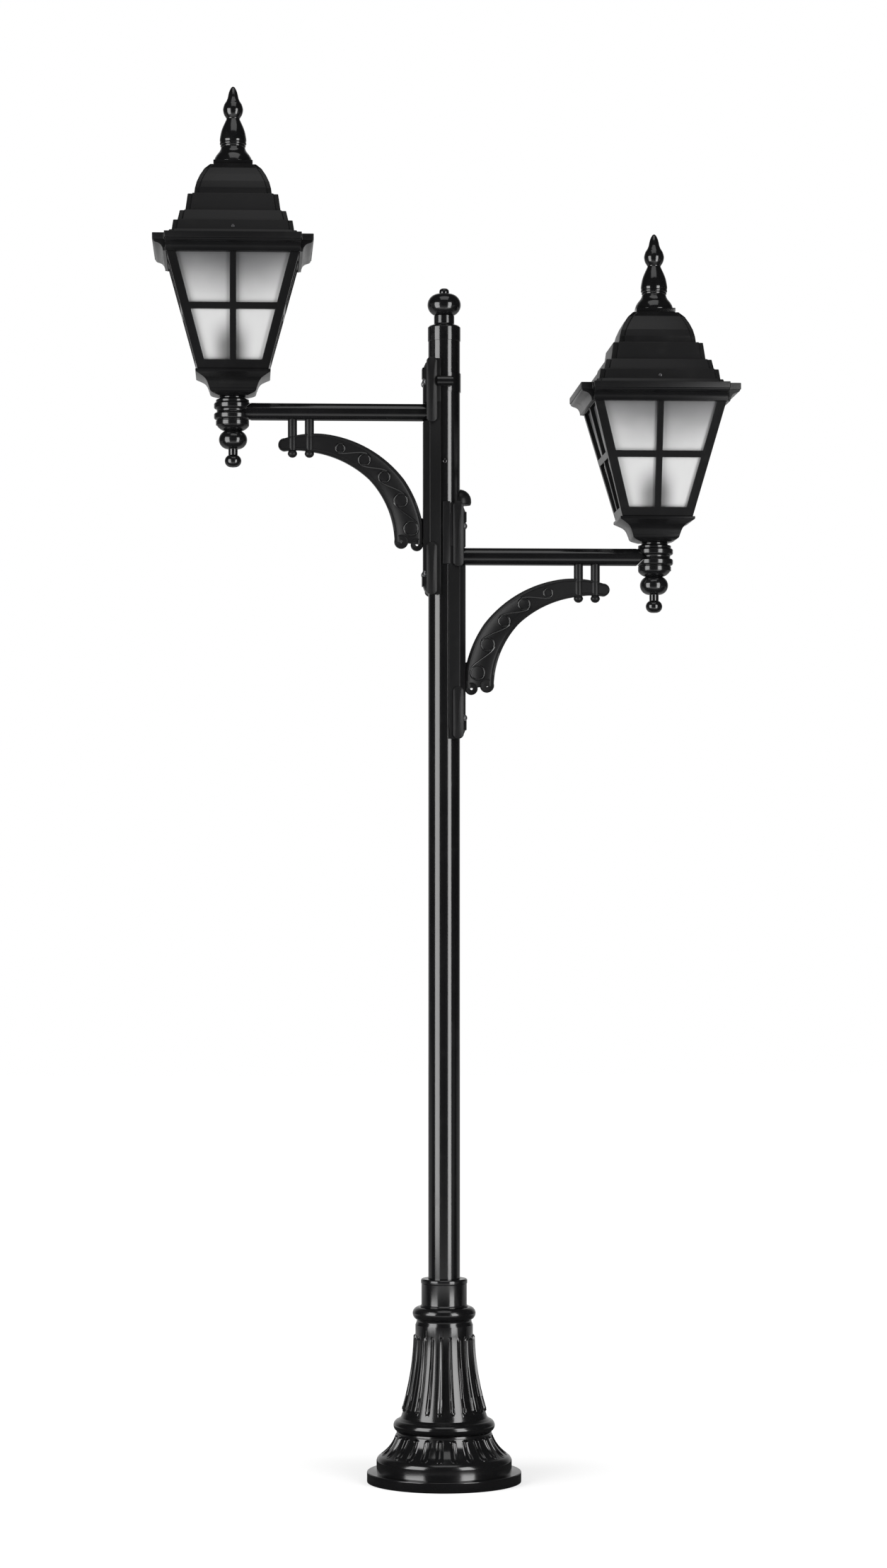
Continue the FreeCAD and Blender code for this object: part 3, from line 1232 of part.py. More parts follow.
def roof_screw(arm, level, lantern_x):
    """Screw through the roof's front that stops against the upstand."""
    name = arm + "_roof_screw"
    seat = fascia_out * COURSE_SHARES[1][0]
    tip = upstand_out + d.screw_stop_gap
    body = turned(name + "_turned", [
        (ZERO, tip), (d.roof_screw_radius, tip), (d.roof_screw_radius, seat), (d.roof_screw_head, seat),
        (d.roof_screw_head * EYE_SHARE, seat + d.roof_screw_cap), (ZERO, seat + d.roof_screw_cap),
    ], SMALL_SCREW_BOW_SHARES)
    place(body, z=roof_screw_level, about=X, turn=90.0)
    piece(name, place(group(name, [body]), x=lantern_x, z=level))


def roof_finial(arm, level, lantern_x):
    """Turned finial on a square plate, with a stud through the dome's top."""
    name = arm + "_roof_finial"
    plate_top = dome_level + d.finial_plate
    profile = [(d.finial_radius * wide, plate_top + d.finial_height * high)
               for wide, high in FINIAL_SHARES[:-1]]
    profile.append((ZERO, plate_top + d.finial_height))
    stem = turned(name + "_turned", [(ZERO, dome_level - d.finial_stud_depth),
                                     (d.finial_stud, dome_level - d.finial_stud_depth),
                                     (d.finial_stud, plate_top)] + profile)
    plate = block(name + "_plate", (-d.finial_plate_half, -d.finial_plate_half, dome_level),
                  (d.finial_plate_half, d.finial_plate_half, plate_top))
    piece(name, place(fused(name, [plate, stem]), x=lantern_x, z=level))


def lamp(arm, level, lantern_x):
    """Lamp holder on a riser, and the bulb that screws into it."""
    hole = d.nipple_radius + d.thread_gap
    riser_bore = d.nipple_bore
    name = arm + "_lamp_holder"
    piece(name, place(turned(name, [
        (hole, floor_level), (d.holder_base_radius, floor_level),
        (d.holder_base_radius, floor_level + d.holder_base),
        (d.riser_radius, floor_level + d.holder_base * 2), (d.riser_radius, cup_level - d.holder_base),
        (d.cup_radius, cup_level), (d.cup_radius, cup_top_level),
        (d.lamp_thread + d.slide_gap, cup_top_level),
        (d.lamp_thread + d.slide_gap, seat_level), (ZERO, seat_level), (ZERO, cup_level),
        (riser_bore, cup_level), (riser_bore, nipple_level + d.fit_gap), (hole, nipple_level + d.fit_gap),
    ]), x=lantern_x, z=level))
    name = arm + "_bulb"
    piece(name, place(turned(name, [
        (ZERO, seat_level), (d.lamp_thread, seat_level), (d.lamp_thread, cup_top_level),
        (d.lamp_thread, bulb_neck_level), (d.bulb_radius, bulb_shoulder_level),
        (d.bulb_radius * BULB_TIP_SHARE, bulb_shoulder_level + d.bulb_radius),
        (ZERO, bulb_shoulder_level + d.bulb_radius),
    ], BULB_BOW_SHARES), x=lantern_x, z=level))


def tube_along(route, radius, bend):
    """A round tube along a route of straight runs, with a tangent arc at each turn."""
    edges, start = [], route[0]
    for before, corner, after in zip(route, route[1:], route[2:]):
        into, out = (corner - before).normalize(), (after - corner).normalize()
        half_turn = into.getAngle(out) / 2
        room = BEND_ROOM_SHARE * min((corner - before).Length, (after - corner).Length)
        reach = min(bend * math.tan(half_turn), room)
        arc_radius = reach / math.tan(half_turn)
        first, last = corner - into * reach, corner + out * reach
        middle = corner + (out - into).normalize() * (arc_radius / math.cos(half_turn) - arc_radius)
        edges.append(Part.LineSegment(start, first).toShape())
        edges.append(Part.Arc(first, middle, last).toShape())
        start = last
    edges.append(Part.LineSegment(start, route[-1]).toShape())
    path = Part.Wire(edges)
    ring = Part.Wire(Part.makeCircle(radius, route[0], (route[1] - route[0]).normalize()))
    tube = path.makePipeShell([ring], True, False)
    share = tube.Volume / (math.pi * radius * radius * path.Length)
    print("tube volume over section times length: %.4f" % share)
    return tube


def wiring():
    name = "terminal_block"
    front = d.pole_radius - d.pole_wall - d.block_front
    tip = d.pole_radius - d.block_screw_tip
    body = block(name + "_body", (-d.block_width / 2, -front, block_level),
                 (d.block_width / 2, -front + d.block_depth, block_top_level))
    hole = rod(name + "_hole", d.block_screw_radius + d.thread_gap,
               (ZERO, -tip + d.fit_gap, block_screw_level), front, X, 90.0)
    piece(name, cut(name, body, hole))
    name = "terminal_screw"
    screw = turned(name, [
        (ZERO, tip), (d.block_screw_radius, tip), (d.block_screw_radius, d.pole_radius),
        (d.block_screw_head, d.pole_radius),
        (d.block_screw_head * EYE_SHARE, d.pole_radius + d.block_screw_proud),
        (ZERO, d.pole_radius + d.block_screw_proud)], SMALL_SCREW_BOW_SHARES)
    piece(name, place(screw, z=block_screw_level, about=X, turn=90.0))
    piece("supply_cable", rod("supply_cable", d.supply_radius, (-d.cable_aside, -d.cable_back, ZERO),
                              block_level))
    aside, back, swing = SIZES["cable_aside"], SIZES["cable_back"], SIZES["cable_swing"]
    reach, radius, bend = SIZES["arm_reach"], SIZES["cable_radius"], SIZES["cable_bend"]
    high, low, cup = SIZES["upper_arm"], lower_level.value, cup_level.value
    top, foot = block_top_level.value, block_level.value
    rise, first, second = (swing * share for share in SWING_SHARES)
    routes = {
        "upper_lamp_cable": [V(aside, -back, top), V(aside, -back, top + swing), V(swing, 0, high - rise),
                             V(swing, 0, high), V(-reach, 0, high), V(-reach, 0, high + cup)],
        "lower_lamp_cable": [V(aside, -back, foot), V(aside, -back, foot - swing), V(swing, 0, foot - first),
                             V(-swing, 0, foot - second), V(-swing, 0, low), V(reach, 0, low),
                             V(reach, 0, low + cup)],
    }
    for name, route in routes.items():
        piece(name, made(name, tube_along(route, radius, bend)))


ground_flange()
pole()
pedestal_foot()
pedestal_bell()
pole_collar()
pole_cap()
wiring()
for arm, level, way in (("upper", d.upper_arm, 180.0), ("lower", lower_level, 0.0)):
    lantern_x = d.arm_reach * cosine(way)
    wall_rail(arm, level, way)
    rail_screws(arm, level, way)
    clamp_band(arm, level, way)
    arm_tube(arm, level, way)
    curved_brace(arm, level, way)
    brace_pins(arm, level, way)
    lantern_socket(arm, level, way)
    pendant(arm, level, lantern_x)
    lantern_tray(arm, level, lantern_x)
    for number, side in enumerate(("front", "right", "back", "left")):
        side_frame(arm, level, lantern_x, side, number)
    panes(arm, level, lantern_x)
    top_ring(arm, level, lantern_x)
    roof(arm, level, lantern_x)
    roof_screw(arm, level, lantern_x)
    roof_finial(arm, level, lantern_x)
    lamp(arm, level, lantern_x)

doc.recompute()
for item in doc.Objects:
    if "Invalid" in item.State or "Error" in item.State:
        raise RuntimeError("%s failed: %s" % (item.Name, item.State))
for item in pieces:
    if item.Shape.isNull() or not item.Shape.isValid() or not item.Shape.Solids:
        raise RuntimeError("%s has no valid solid" % item.Label)
os.makedirs("parts", exist_ok=True)
for item in pieces:
    item.Shape.exportStep("parts/%s.step" % item.Label)
    box = item.Shape.BoundBox
    print("%-24s solids %d volume %9.0f  x %.1f %.1f  y %.1f %.1f  z %.1f %.1f" % (
        item.Label, len(item.Shape.Solids), item.Shape.Volume, box.XMin, box.XMax, box.YMin, box.YMax,
        box.ZMin, box.ZMax))
print("%d pieces" % len(pieces))
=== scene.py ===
"""Looks of a garden lamp post: a fluted pedestal, a round pole, two bracket arms and two lanterns.

Lengths are metres, +Z up, with the origin on the pole's axis at the ground. The tables of points are in
millimetres and are scaled by MM. A bracket is drawn with its arm along +X, and a lantern round its own axis,
both with their heights counted from the centre of the arm.
"""

import json
import math
from collections import namedtuple

import bmesh
import bpy
import numpy as np
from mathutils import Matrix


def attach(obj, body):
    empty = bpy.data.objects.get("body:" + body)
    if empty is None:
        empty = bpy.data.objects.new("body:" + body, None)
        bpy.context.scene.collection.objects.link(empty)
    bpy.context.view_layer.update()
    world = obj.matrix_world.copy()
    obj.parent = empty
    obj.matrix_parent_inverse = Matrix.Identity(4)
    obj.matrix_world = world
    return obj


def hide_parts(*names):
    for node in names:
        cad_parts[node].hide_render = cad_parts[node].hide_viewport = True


bl_info = {
    "name": "Garden lamp post",
    "version": (1, 0, 0),
    "blender": (4, 5, 0),
    "location": "3D View > Sidebar > Lamp post",
    "description": "Dresses the lamp post's frame in its castings, panes and finishes",
    "category": "Add Mesh",
}

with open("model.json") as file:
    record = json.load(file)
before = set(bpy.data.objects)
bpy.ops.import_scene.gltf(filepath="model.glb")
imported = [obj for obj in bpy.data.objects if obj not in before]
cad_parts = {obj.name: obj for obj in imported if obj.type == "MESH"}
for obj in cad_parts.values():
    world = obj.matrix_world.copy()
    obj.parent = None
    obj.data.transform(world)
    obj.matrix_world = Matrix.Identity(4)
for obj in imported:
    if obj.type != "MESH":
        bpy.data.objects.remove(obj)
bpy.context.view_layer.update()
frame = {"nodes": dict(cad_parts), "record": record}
MM = 0.001
STRAIGHT = 1.55  # half the angle at a corner, in radians, from which the corner counts as straight
Arm = namedtuple("Arm", "name height way")
Coat = namedtuple("Coat", "material slot")
ARMS = (Arm("upper", 2.022, -1.0), Arm("lower", 1.750, 1.0))
LANTERN_OUT = 0.399
SOCKET_OUT = 0.400

# The brace in millimetres: shares of its reach and drop, and (out, down, radius) of its rings and lobes.
BRACE_REACH, BRACE_DROP, BRACE_HALF_DEPTH, BRACE_FACE = 316.0, 264.0, 6.0, 6.2
OUTER_EDGE = ((0.955, 0.19), (0.86, 0.163), (0.72, 0.158), (0.47, 0.25), (0.243, 0.477), (0.172, 0.63),
              (0.129, 0.80), (0.1275, 0.875), (0.129, 0.947))
INNER_EDGE = ((0.955, 0.282), (0.88, 0.275), (0.80, 0.285), (0.625, 0.342), (0.448, 0.482), (0.348, 0.66),
              (0.299, 0.885), (0.2975, 0.905), (0.298, 0.925))
RINGS = ((0.623, 0.259, 0.037), (0.479, 0.340, 0.0465), (0.360, 0.462, 0.0455), (0.261, 0.630, 0.052),
         (0.199, 0.832, 0.0555))
LOBES = ((0.257, 0.925, 0.050), (0.1635, 0.947, 0.0445))
PIN_PLACES = (287.0, 255.0)

# The lantern's side frames in millimetres: half widths and heights of their foot and top.
FRAME_FOOT, FRAME_TOP, FRAME_FOOT_HEIGHT, FRAME_TOP_HEIGHT = 66.5, 125.0, 72.6, 290.0


# Outlines


def bowed(start, stop, bulge, steps):
    """Points of an arc from start up to stop, whose bulge is twice its height over its chord. It swells to
    the right of the way where the bulge is positive."""
    start, stop = np.array(start, float), np.array(stop, float)
    chord = stop - start
    half_turn = 2.0 * math.atan(abs(bulge))
    radius = np.linalg.norm(chord) / (2.0 * math.sin(half_turn))
    side = np.array([chord[1], -chord[0]]) / np.linalg.norm(chord) * math.copysign(1.0, bulge)
    centre = (start + stop) / 2.0 - side * radius * math.cos(half_turn)
    angles = np.linspace(-half_turn, half_turn, steps, endpoint=False)
    along = chord / np.linalg.norm(chord)
    return centre + radius * (np.cos(angles)[:, None] * side + np.sin(angles)[:, None] * along)


def rounded(points, radius, steps, closed=False):
    """The polyline with each corner turned into an arc tangent to both edges, no wider than they allow."""
    points = np.array(points, float)
    radii = np.broadcast_to(np.asarray(radius, float), len(points))
    result = []
    for number, corner in enumerate(points):
        if not closed and number in (0, len(points) - 1):
            result.append(corner[None])
            continue
        before, after = points[number - 1] - corner, points[(number + 1) % len(points)] - corner
        near, far = np.linalg.norm(before), np.linalg.norm(after)
        before, after = before / near, after / far
        half = math.acos(np.clip(before @ after, -1.0, 1.0)) / 2.0
        reach = min(radii[number] / math.tan(half), 0.45 * near, 0.45 * far) if half < STRAIGHT else 1e-5
        share = np.linspace(0.0, 1.0, steps + 1)[:, None]
        first, last = corner + before * reach, corner + after * reach
        result.append((1 - share) ** 2 * first + 2 * share * (1 - share) * corner + share ** 2 * last)
    return np.concatenate(result)


def traced(corners, bulges):
    """The outline through the corners, with an arc after each corner that has a (bulge, steps) of its own."""
    runs = [bowed(start, stop, *bulges[number]) if number in bulges else np.array([start], float)
            for number, (start, stop) in enumerate(zip(corners, corners[1:]))]
    return np.concatenate(runs + [np.array([corners[-1]], float)])


def arcs_through(points):
    """Arcs of 16 steps through every three points, each starting where the last one ended."""
    points, runs = np.asarray(points, float), []
    for first, middle, last in zip(points[:-2:2], points[1:-1:2], points[2::2]):
        chord, rise = last - first, middle - first
        square = chord @ chord
        height = abs(chord[0] * rise[1] - chord[1] * rise[0]) / math.sqrt(square)
        share = (rise @ chord) / square
        # A point at share s of the chord c lies height h over it where the bulge b solves
        # h = sqrt(r^2 - (s - 1/2)^2 c^2) - (r - b c / 2), with r = c (1 + b^2) / (4 b).
        bulge, length = 1e-4, math.sqrt(square)
        for _ in range(24):
            radius = length * (1.0 + bulge ** 2) / (4.0 * bulge)
            level = math.sqrt(max(radius ** 2 - ((share - 0.5) * length) ** 2, 0.0))
            bulge *= height / max(level - radius + bulge * length / 2, 1e-9)
        side = chord[1] * rise[0] - chord[0] * rise[1]
        runs.append(bowed(first, last, math.copysign(bulge, side), 16))
    return np.concatenate(runs + [points[-1:]])


def spaced(points, count):
    """The polyline again, with its points at equal steps of its length."""
    lengths = np.concatenate([[0.0], np.cumsum(np.linalg.norm(np.diff(points, axis=0), axis=1))])
    wanted = np.linspace(0.0, lengths[-1], count)
    return np.stack([np.interp(wanted, lengths, axis) for axis in points.T], axis=1)


def smooth_curve(points, steps):
    """A curve through all the points, a cubic between each pair whose ends lean along the neighbours'
    chord."""
    points = np.asarray(points, float)
    lean = np.gradient(points, axis=0)
    share = np.linspace(0.0, 1.0, steps, endpoint=False)[None, :, None]
    a, b, p, q = points[:-1, None], points[1:, None], lean[:-1, None], lean[1:, None]
    curve = ((2 * share ** 3 - 3 * share ** 2 + 1) * a + (share ** 3 - 2 * share ** 2 + share) * p
             + (3 * share ** 2 - 2 * share ** 3) * b + (share ** 3 - share ** 2) * q)
    return np.concatenate([curve.reshape(-1, points.shape[1]), points[-1:]])


def rectangle(left, right, low, high):
    """The four corners of an upright rectangle."""
    return [(left, low), (right, low), (right, high), (left, high)]


def smooth_step(values, low, high):
    """0 below low, 1 above high and 3t^2 - 2t^3 between."""
    share = np.clip((values - low) / (high - low), 0.0, 1.0)
    return share * share * (3.0 - 2.0 * share)


# Surfaces


def grid_faces(rows, columns, round_rows, round_columns):
    """Quads between neighbouring rows and columns of a grid."""
    row = np.arange(rows if round_rows else rows - 1)
    column = np.arange(columns if round_columns else columns - 1)
    row, column = np.meshgrid(row, column, indexing="ij")
    next_row, next_column = (row + 1) % rows, (column + 1) % columns
    return np.stack([row * columns + column, next_row * columns + column, next_row * columns + next_column,
                     row * columns + next_column], axis=-1).reshape(-1, 4)


def surface(points, round_rows=False, round_columns=True, caps=False):
    """Vertices and faces of a grid of points (rows, columns, 3). Caps close its first and last rows."""
    rows, columns = points.shape[:2]
    faces = grid_faces(rows, columns, round_rows, round_columns).tolist()
    if caps:
        faces.append(list(range(columns)))
        faces.append(list(range((rows - 1) * columns, rows * columns)))
    return points.reshape(-1, 3), faces


def lathe(profile, steps, swell=None):
    """Each point (radius, height) of the profile carried round the Z axis. Swell may add to the radius as a
    function of the angle, the radius and the height."""
    profile = np.asarray(profile, float)
    angle = np.linspace(0.0, 2.0 * math.pi, steps, endpoint=False)[None, :]
    radius = np.repeat(profile[:, :1], steps, axis=1)
    if swell is not None:
        radius = radius + swell(angle, radius, profile[:, 1:])
    height = np.repeat(profile[:, 1:], steps, axis=1)
    return surface(np.stack([radius * np.cos(angle), radius * np.sin(angle), height], axis=-1))


def notched_square(notch, edge):
    """Outline of a square of half width 1 whose corners have a square notch, with softened corners. It comes
    as (side share, notch share, edge offset) so that one outline fits every level."""
    quarter = np.array([[1.0, -notch], [1.0, notch], [notch, notch]])
    corners = [quarter @ np.array([[c, s], [-s, c]]) for c, s in ((1, 0), (0, 1), (-1, 0), (0, -1))]
    return rounded(np.concatenate(corners), edge, 3, closed=True)


def square_stack(levels, notches, edge):
    """Levels (half width, height) of a square whose corners are notched by a length of their own, joined."""
    rings = []
    for (half, height), notch in zip(levels, notches):
        half = max(half, 1e-5)
        inner = max(half - max(notch, edge * 0.02), half * 0.2)
        outline = notched_square(inner / half, min(edge, half * 0.2, max(notch, edge * 0.02) * 0.4) / half)
        rings.append(np.column_stack([outline * half, np.full(len(outline), height)]))
    return surface(np.stack(rings))


def slab(outline, low, high, edge):
    """An outline (x, z) given depth from y low to y high, its rims softened by an inset of the same size."""
    ahead, behind = np.roll(outline, -1, axis=0), np.roll(outline, 1, axis=0)
    along = ahead - behind
    normal = np.column_stack([along[:, 1], -along[:, 0]]) / np.linalg.norm(along, axis=1)[:, None]
    area = np.sum(outline[:, 0] * ahead[:, 1] - ahead[:, 0] * outline[:, 1])
    normal *= math.copysign(1.0, area)
    rows = [(low + edge * deep, edge * inward) for inward, deep in ((1.0, 0.0), (0.3, 0.3), (0.0, 1.0))]
    rows += [(low + high - depth, inset) for depth, inset in rows[::-1]]
    points = [np.column_stack([(outline - normal * inset)[:, 0], np.full(len(outline), depth),
                               (outline - normal * inset)[:, 1]]) for depth, inset in rows]
    return surface(np.stack(points), caps=True)


def bored(bore, radius, low, high, edge, steps):
    """A turned ring from one height to another, whose two outer corners are softened."""
    corners = rectangle(bore, radius, low, high)
    return lathe(MM * rounded(corners + corners[:1], [0, edge, edge, 0, 0], steps), 48)


def circles(path, first, second, radius, steps):
    """A circle about each point of a path, in the plane of two unit vectors square to each other."""
    angle = np.linspace(0.0, 2.0 * math.pi, steps, endpoint=False)[None, :, None]
    return path[:, None] + radius * (np.cos(angle) * first[:, None] + np.sin(angle) * second[:, None])


def swept(path, radius):
    """A round tube along a path in a plane of constant y, square to it at each of its points."""
    along = np.gradient(path, axis=0)
    along /= np.linalg.norm(along, axis=1)[:, None]
    side = np.cross(along, np.array([0.0, 1.0, 0.0]))
    side /= np.linalg.norm(side, axis=1)[:, None]
    return surface(circles(path, side, np.cross(side, along), radius, 8), caps=True)


def closed_tube(path, radius):
    """A ring of round section about a path in a plane of constant y."""
    outward = path - path.mean(axis=0)
    outward /= np.linalg.norm(outward, axis=1)[:, None]
    sideways = np.broadcast_to([0.0, 1.0, 0.0], path.shape)
    return surface(circles(path, outward, sideways, radius, 10), round_rows=True)


def turned_to(shape, axis):
    """A lathed shape laid over, so that its Z axis becomes X, Y or -Y."""
    points, faces = shape
    x, y, z = points.T
    return {"X": np.column_stack([z, y, -x]), "Y": np.column_stack([x, z, -y]),
            "-Y": np.column_stack([x, -z, y])}[axis], faces


def moved(shape, x=0.0, y=0.0, z=0.0, spin=0.0):
    """The shape turned about Z by an angle, then moved."""
    points, faces = shape
    c, s = math.cos(spin), math.sin(spin)
    return points @ np.array([[c, s, 0.0], [-s, c, 0.0], [0.0, 0.0, 1.0]]) + np.array([x, y, z]), faces


def join(shapes):
    """Several shapes as one list of vertices and faces."""
    points, faces, base = [], [], 0
    for shape_points, shape_faces in shapes:
        points.append(shape_points)
        faces += [[base + index for index in face] for face in shape_faces]
        base += len(shape_points)
    return np.concatenate(points), faces


def make_piece(name, shapes, coat, nodes=(), crease=32.0, bevel=0.0, body="post", slot=""):
    """Mesh of the shapes, closed at its poles, faces outwards, smooth but for edges sharper than crease
    degrees. It rides on its body and stands for the nodes, which are hidden. The slot, the coat's unless
    another one is named, is worked out but not used."""
    points, faces = join(shapes)
    mesh = bpy.data.meshes.new(name)
    mesh.from_pydata(points.tolist(), [], faces)
    shell = bmesh.new()
    shell.from_mesh(mesh)
    bmesh.ops.remove_doubles(shell, verts=shell.verts, dist=2e-6)
    bmesh.ops.recalc_face_normals(shell, faces=shell.faces)
    shell.to_mesh(mesh)
    shell.free()
    mesh.polygons.foreach_set("use_smooth", np.ones(len(mesh.polygons), dtype=bool))
    mesh.set_sharp_from_angle(angle=math.radians(crease))
    thing = bpy.data.objects.new(name, mesh)
    bpy.context.scene.collection.objects.link(thing)
    if bevel:
        modifier = thing.modifiers.new("softened_edges", "BEVEL")
        modifier.width = bevel
        modifier.segments = 2
        modifier.limit_method = "ANGLE"
        modifier.angle_limit = math.radians(crease)
        modifier.harden_normals = True
    mesh.materials.append(coat.material)
    slot = slot or coat.slot
    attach(thing, body)
    if nodes:
        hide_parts(*nodes)
    return thing


def bracket_piece(arm, name, shapes, coat, node="", **options):
    """A piece of one bracket, whose shapes are drawn with the arm along +X at height 0."""
    spin = 0.0 if arm.way > 0 else math.pi
    placed = [moved(shape, z=arm.height, spin=spin) for shape in shapes]
    return make_piece(arm.name + name, placed, coat, [arm.name + node] if node else (), **options)


def lantern_piece(arm, name, shapes, coat, node="", **options):
    """A piece of one lantern, whose shapes are drawn round the lantern's own axis."""
    placed = [moved(shape, x=arm.way * LANTERN_OUT, z=arm.height) for shape in shapes]
    return make_piece(arm.name + name, placed, coat, [arm.name + node] if node else (), **options)


# Finishes


class Signal:
    """A number that varies over a surface, which takes arithmetic."""

    def __init__(self, finish, socket):
        self.finish = finish
        self.socket = socket

    def maths(self, operation, *values):
        return self.finish.node("ShaderNodeMath", {"operation": operation}, dict(enumerate(values)))

    def __add__(self, other):
        return self.maths("ADD", self, other)

    def __sub__(self, other):
        return self.maths("SUBTRACT", self, other)

    def __rsub__(self, other):
        return self.maths("SUBTRACT", other, self)

    def __mul__(self, other):
        return self.maths("MULTIPLY", self, other)

    def __abs__(self):
        return self.maths("ABSOLUTE", self)

    __radd__ = __add__
    __rmul__ = __mul__

    def larger(self, other):
        return self.maths("MAXIMUM", self, other)

    def between(self, low, high):
        """0 up to low, 1 from high on, smooth between."""
        return self.finish.node("ShaderNodeMapRange", {"interpolation_type": "SMOOTHSTEP"},
                                {"Value": self, "From Min": low, "From Max": high})


class Finish:
    """A material, or the world's background, built node by node."""

    def __init__(self, name, world=False):
        self.holder = (bpy.data.worlds if world else bpy.data.materials).new(name)
        self.holder.use_nodes = True
        self.tree = self.holder.node_tree
        self.tree.nodes.clear()
        self.end = "ShaderNodeOutputWorld" if world else "ShaderNodeOutputMaterial"

    def node(self, kind, settings=None, values=None, output=0):
        """Adds a node: its settings first, then the values or links of its sockets. Gives one of its
        outputs."""
        made = self.tree.nodes.new(kind)
        for name, setting in (settings or {}).items():
            setattr(made, name, setting)
        for name, value in (values or {}).items():
            socket = made.inputs[name]
            if isinstance(value, Signal):
                self.tree.links.new(value.socket, socket)
            else:
                socket.default_value = value
        return Signal(self, made.outputs[output])

    def place(self):
        return self.node("ShaderNodeTexCoord", output="Object")

    def part(self, vector, axis):
        """One number of a vector: axis 0, 1 or 2 for X, Y or Z."""
        return self.node("ShaderNodeSeparateXYZ", None, {0: vector}, output=axis)

    def ray(self, kind):
        return self.node("ShaderNodeLightPath", output=kind)

    def noise(self, scale, detail):
        return self.node("ShaderNodeTexNoise", None,
                         {"Vector": self.place(), "Scale": scale, "Detail": detail})

    def blend(self, share, first, second):
        """Mix of two colours."""
        return self.node("ShaderNodeMix", {"data_type": "RGBA"}, {0: share, 6: first, 7: second}, output=2)

    def bump(self, height, strength, depth):
        return self.node("ShaderNodeBump", None, {"Height": height, "Strength": strength, "Distance": depth})

    def shade(self, **values):
        """Closes the material with a Principled shader, whose sockets are named with _ for a space."""
        sockets = {name.replace("_", " "): value for name, value in values.items()}
        return self.close(self.node("ShaderNodeBsdfPrincipled", None, sockets))

    def close(self, shader):
        """Leads the shader to the output node and gives the finished material or world."""
        end = self.tree.nodes.new(self.end)
        self.tree.links.new(shader.socket, end.inputs["Surface"])
        return self.holder


def opaque(colour, share=1.0):
    """The colour, made darker or lighter by a share, with full alpha."""
    return tuple(part * share for part in colour) + (1.0,)


def grey(value):
    return (value, value, value, 1.0)


def powder_coat(name, colour, gloss, peel, index=1.5):
    """Powder coat: near-black with slow tone changes, a faint orange-peel surface and dust in scattered
    patches. A lower index makes a duller coat."""
    finish = Finish(name)
    slow, fine = finish.noise(6.0, 3.0), finish.noise(240.0, 2.0)
    dust = finish.noise(30.0, 5.0).between(0.50, 0.80)
    base = finish.blend(slow.between(0.35, 0.7), opaque(colour), opaque(colour, 1.35))
    base = finish.blend(dust * 0.08, base, (0.020, 0.020, 0.019, 1.0))
    rough = slow * 0.03 + dust * 0.04 + (gloss - 0.015)
    return finish.shade(Base_Color=base, Roughness=rough, IOR=index, Normal=finish.bump(fine, peel, 0.0002))


def frosted_sheet(name, light, shadow):
    """Frosted sheet: pale below, with painted shade under the roof, most of all in the middle, and a painted
    blurred shadow of the lamp holder behind it. It reads the piece's own map, across the pane and up it."""
    finish = Finish(name)
    spot = finish.node("ShaderNodeUVMap", {"uv_map": "pane"})
    across, up = finish.part(spot, 0), finish.part(spot, 1)
    grain, cloud = finish.noise(650.0, 2.0), finish.noise(11.0, 2.0) - 0.5
    # Painted shade: the pane darkens towards its top under the roof, most in the middle, mixing towards the
    # pane shade colour.
    under = (up + cloud * 0.14 - abs(across - 0.5) * 0.20).between(0.44, 0.97)
    tone = finish.blend(under, opaque(light), opaque(shadow))
    aside = abs(across + cloud * 0.05 - 0.47)
    # Painted shadow: the blurred dark shape of the lamp holder behind the pane, low in its middle, mixed in
    # as dark grey.
    holder = (1.0 - aside.between(0.06, 0.34)) * (1.0 - (up + aside * 0.3).between(0.20, 0.50))
    tone = finish.blend(holder * 0.90, tone, grey(0.06))
    return finish.shade(Base_Color=tone, Roughness=grain * 0.08 + 0.34, IOR=1.49,
                        Normal=finish.bump(grain, 0.10, 0.0003))


def bright_metal(name, colour, rough, scale):
    """Plated metal: brushed noise in its roughness and a faint grey bloom."""
    finish = Finish(name)
    brushed, bloom = finish.noise(scale, 5.0), finish.noise(60.0, 3.0)
    tone = finish.blend(bloom, opaque(colour), opaque(colour, 0.72))
    return finish.shade(Base_Color=tone, Metallic=1.0, Roughness=brushed * 0.2 + rough,
                        Normal=finish.bump(brushed, 0.08, 0.0003))


def moulded(name, colour, rough, speckle):
    """Moulded plastic, rubber or ceramic: slight speckle and a grained surface."""
    finish = Finish(name)
    grain, cloud = finish.noise(speckle, 3.0), finish.noise(25.0, 2.0)
    tone = finish.blend(cloud.between(0.3, 0.8), opaque(colour), opaque(colour, 0.8))
    return finish.shade(Base_Color=tone, Roughness=grain * 0.15 + rough,
                        Normal=finish.bump(grain, 0.2, 0.0004))


def screw_coat(name):
    """Black coated steel, rubbed bright in small patches."""
    finish = Finish(name)
    rub = finish.noise(300.0, 4.0).between(0.48, 0.75)
    tone = finish.blend(rub * 0.5, (0.03, 0.03, 0.032, 1.0), (0.35, 0.35, 0.36, 1.0))
    return finish.shade(Base_Color=tone, Metallic=rub * 0.6, Roughness=0.22 + rub * 0.15,
                        Normal=finish.bump(rub, 0.1, 0.0003))


COATS = {}


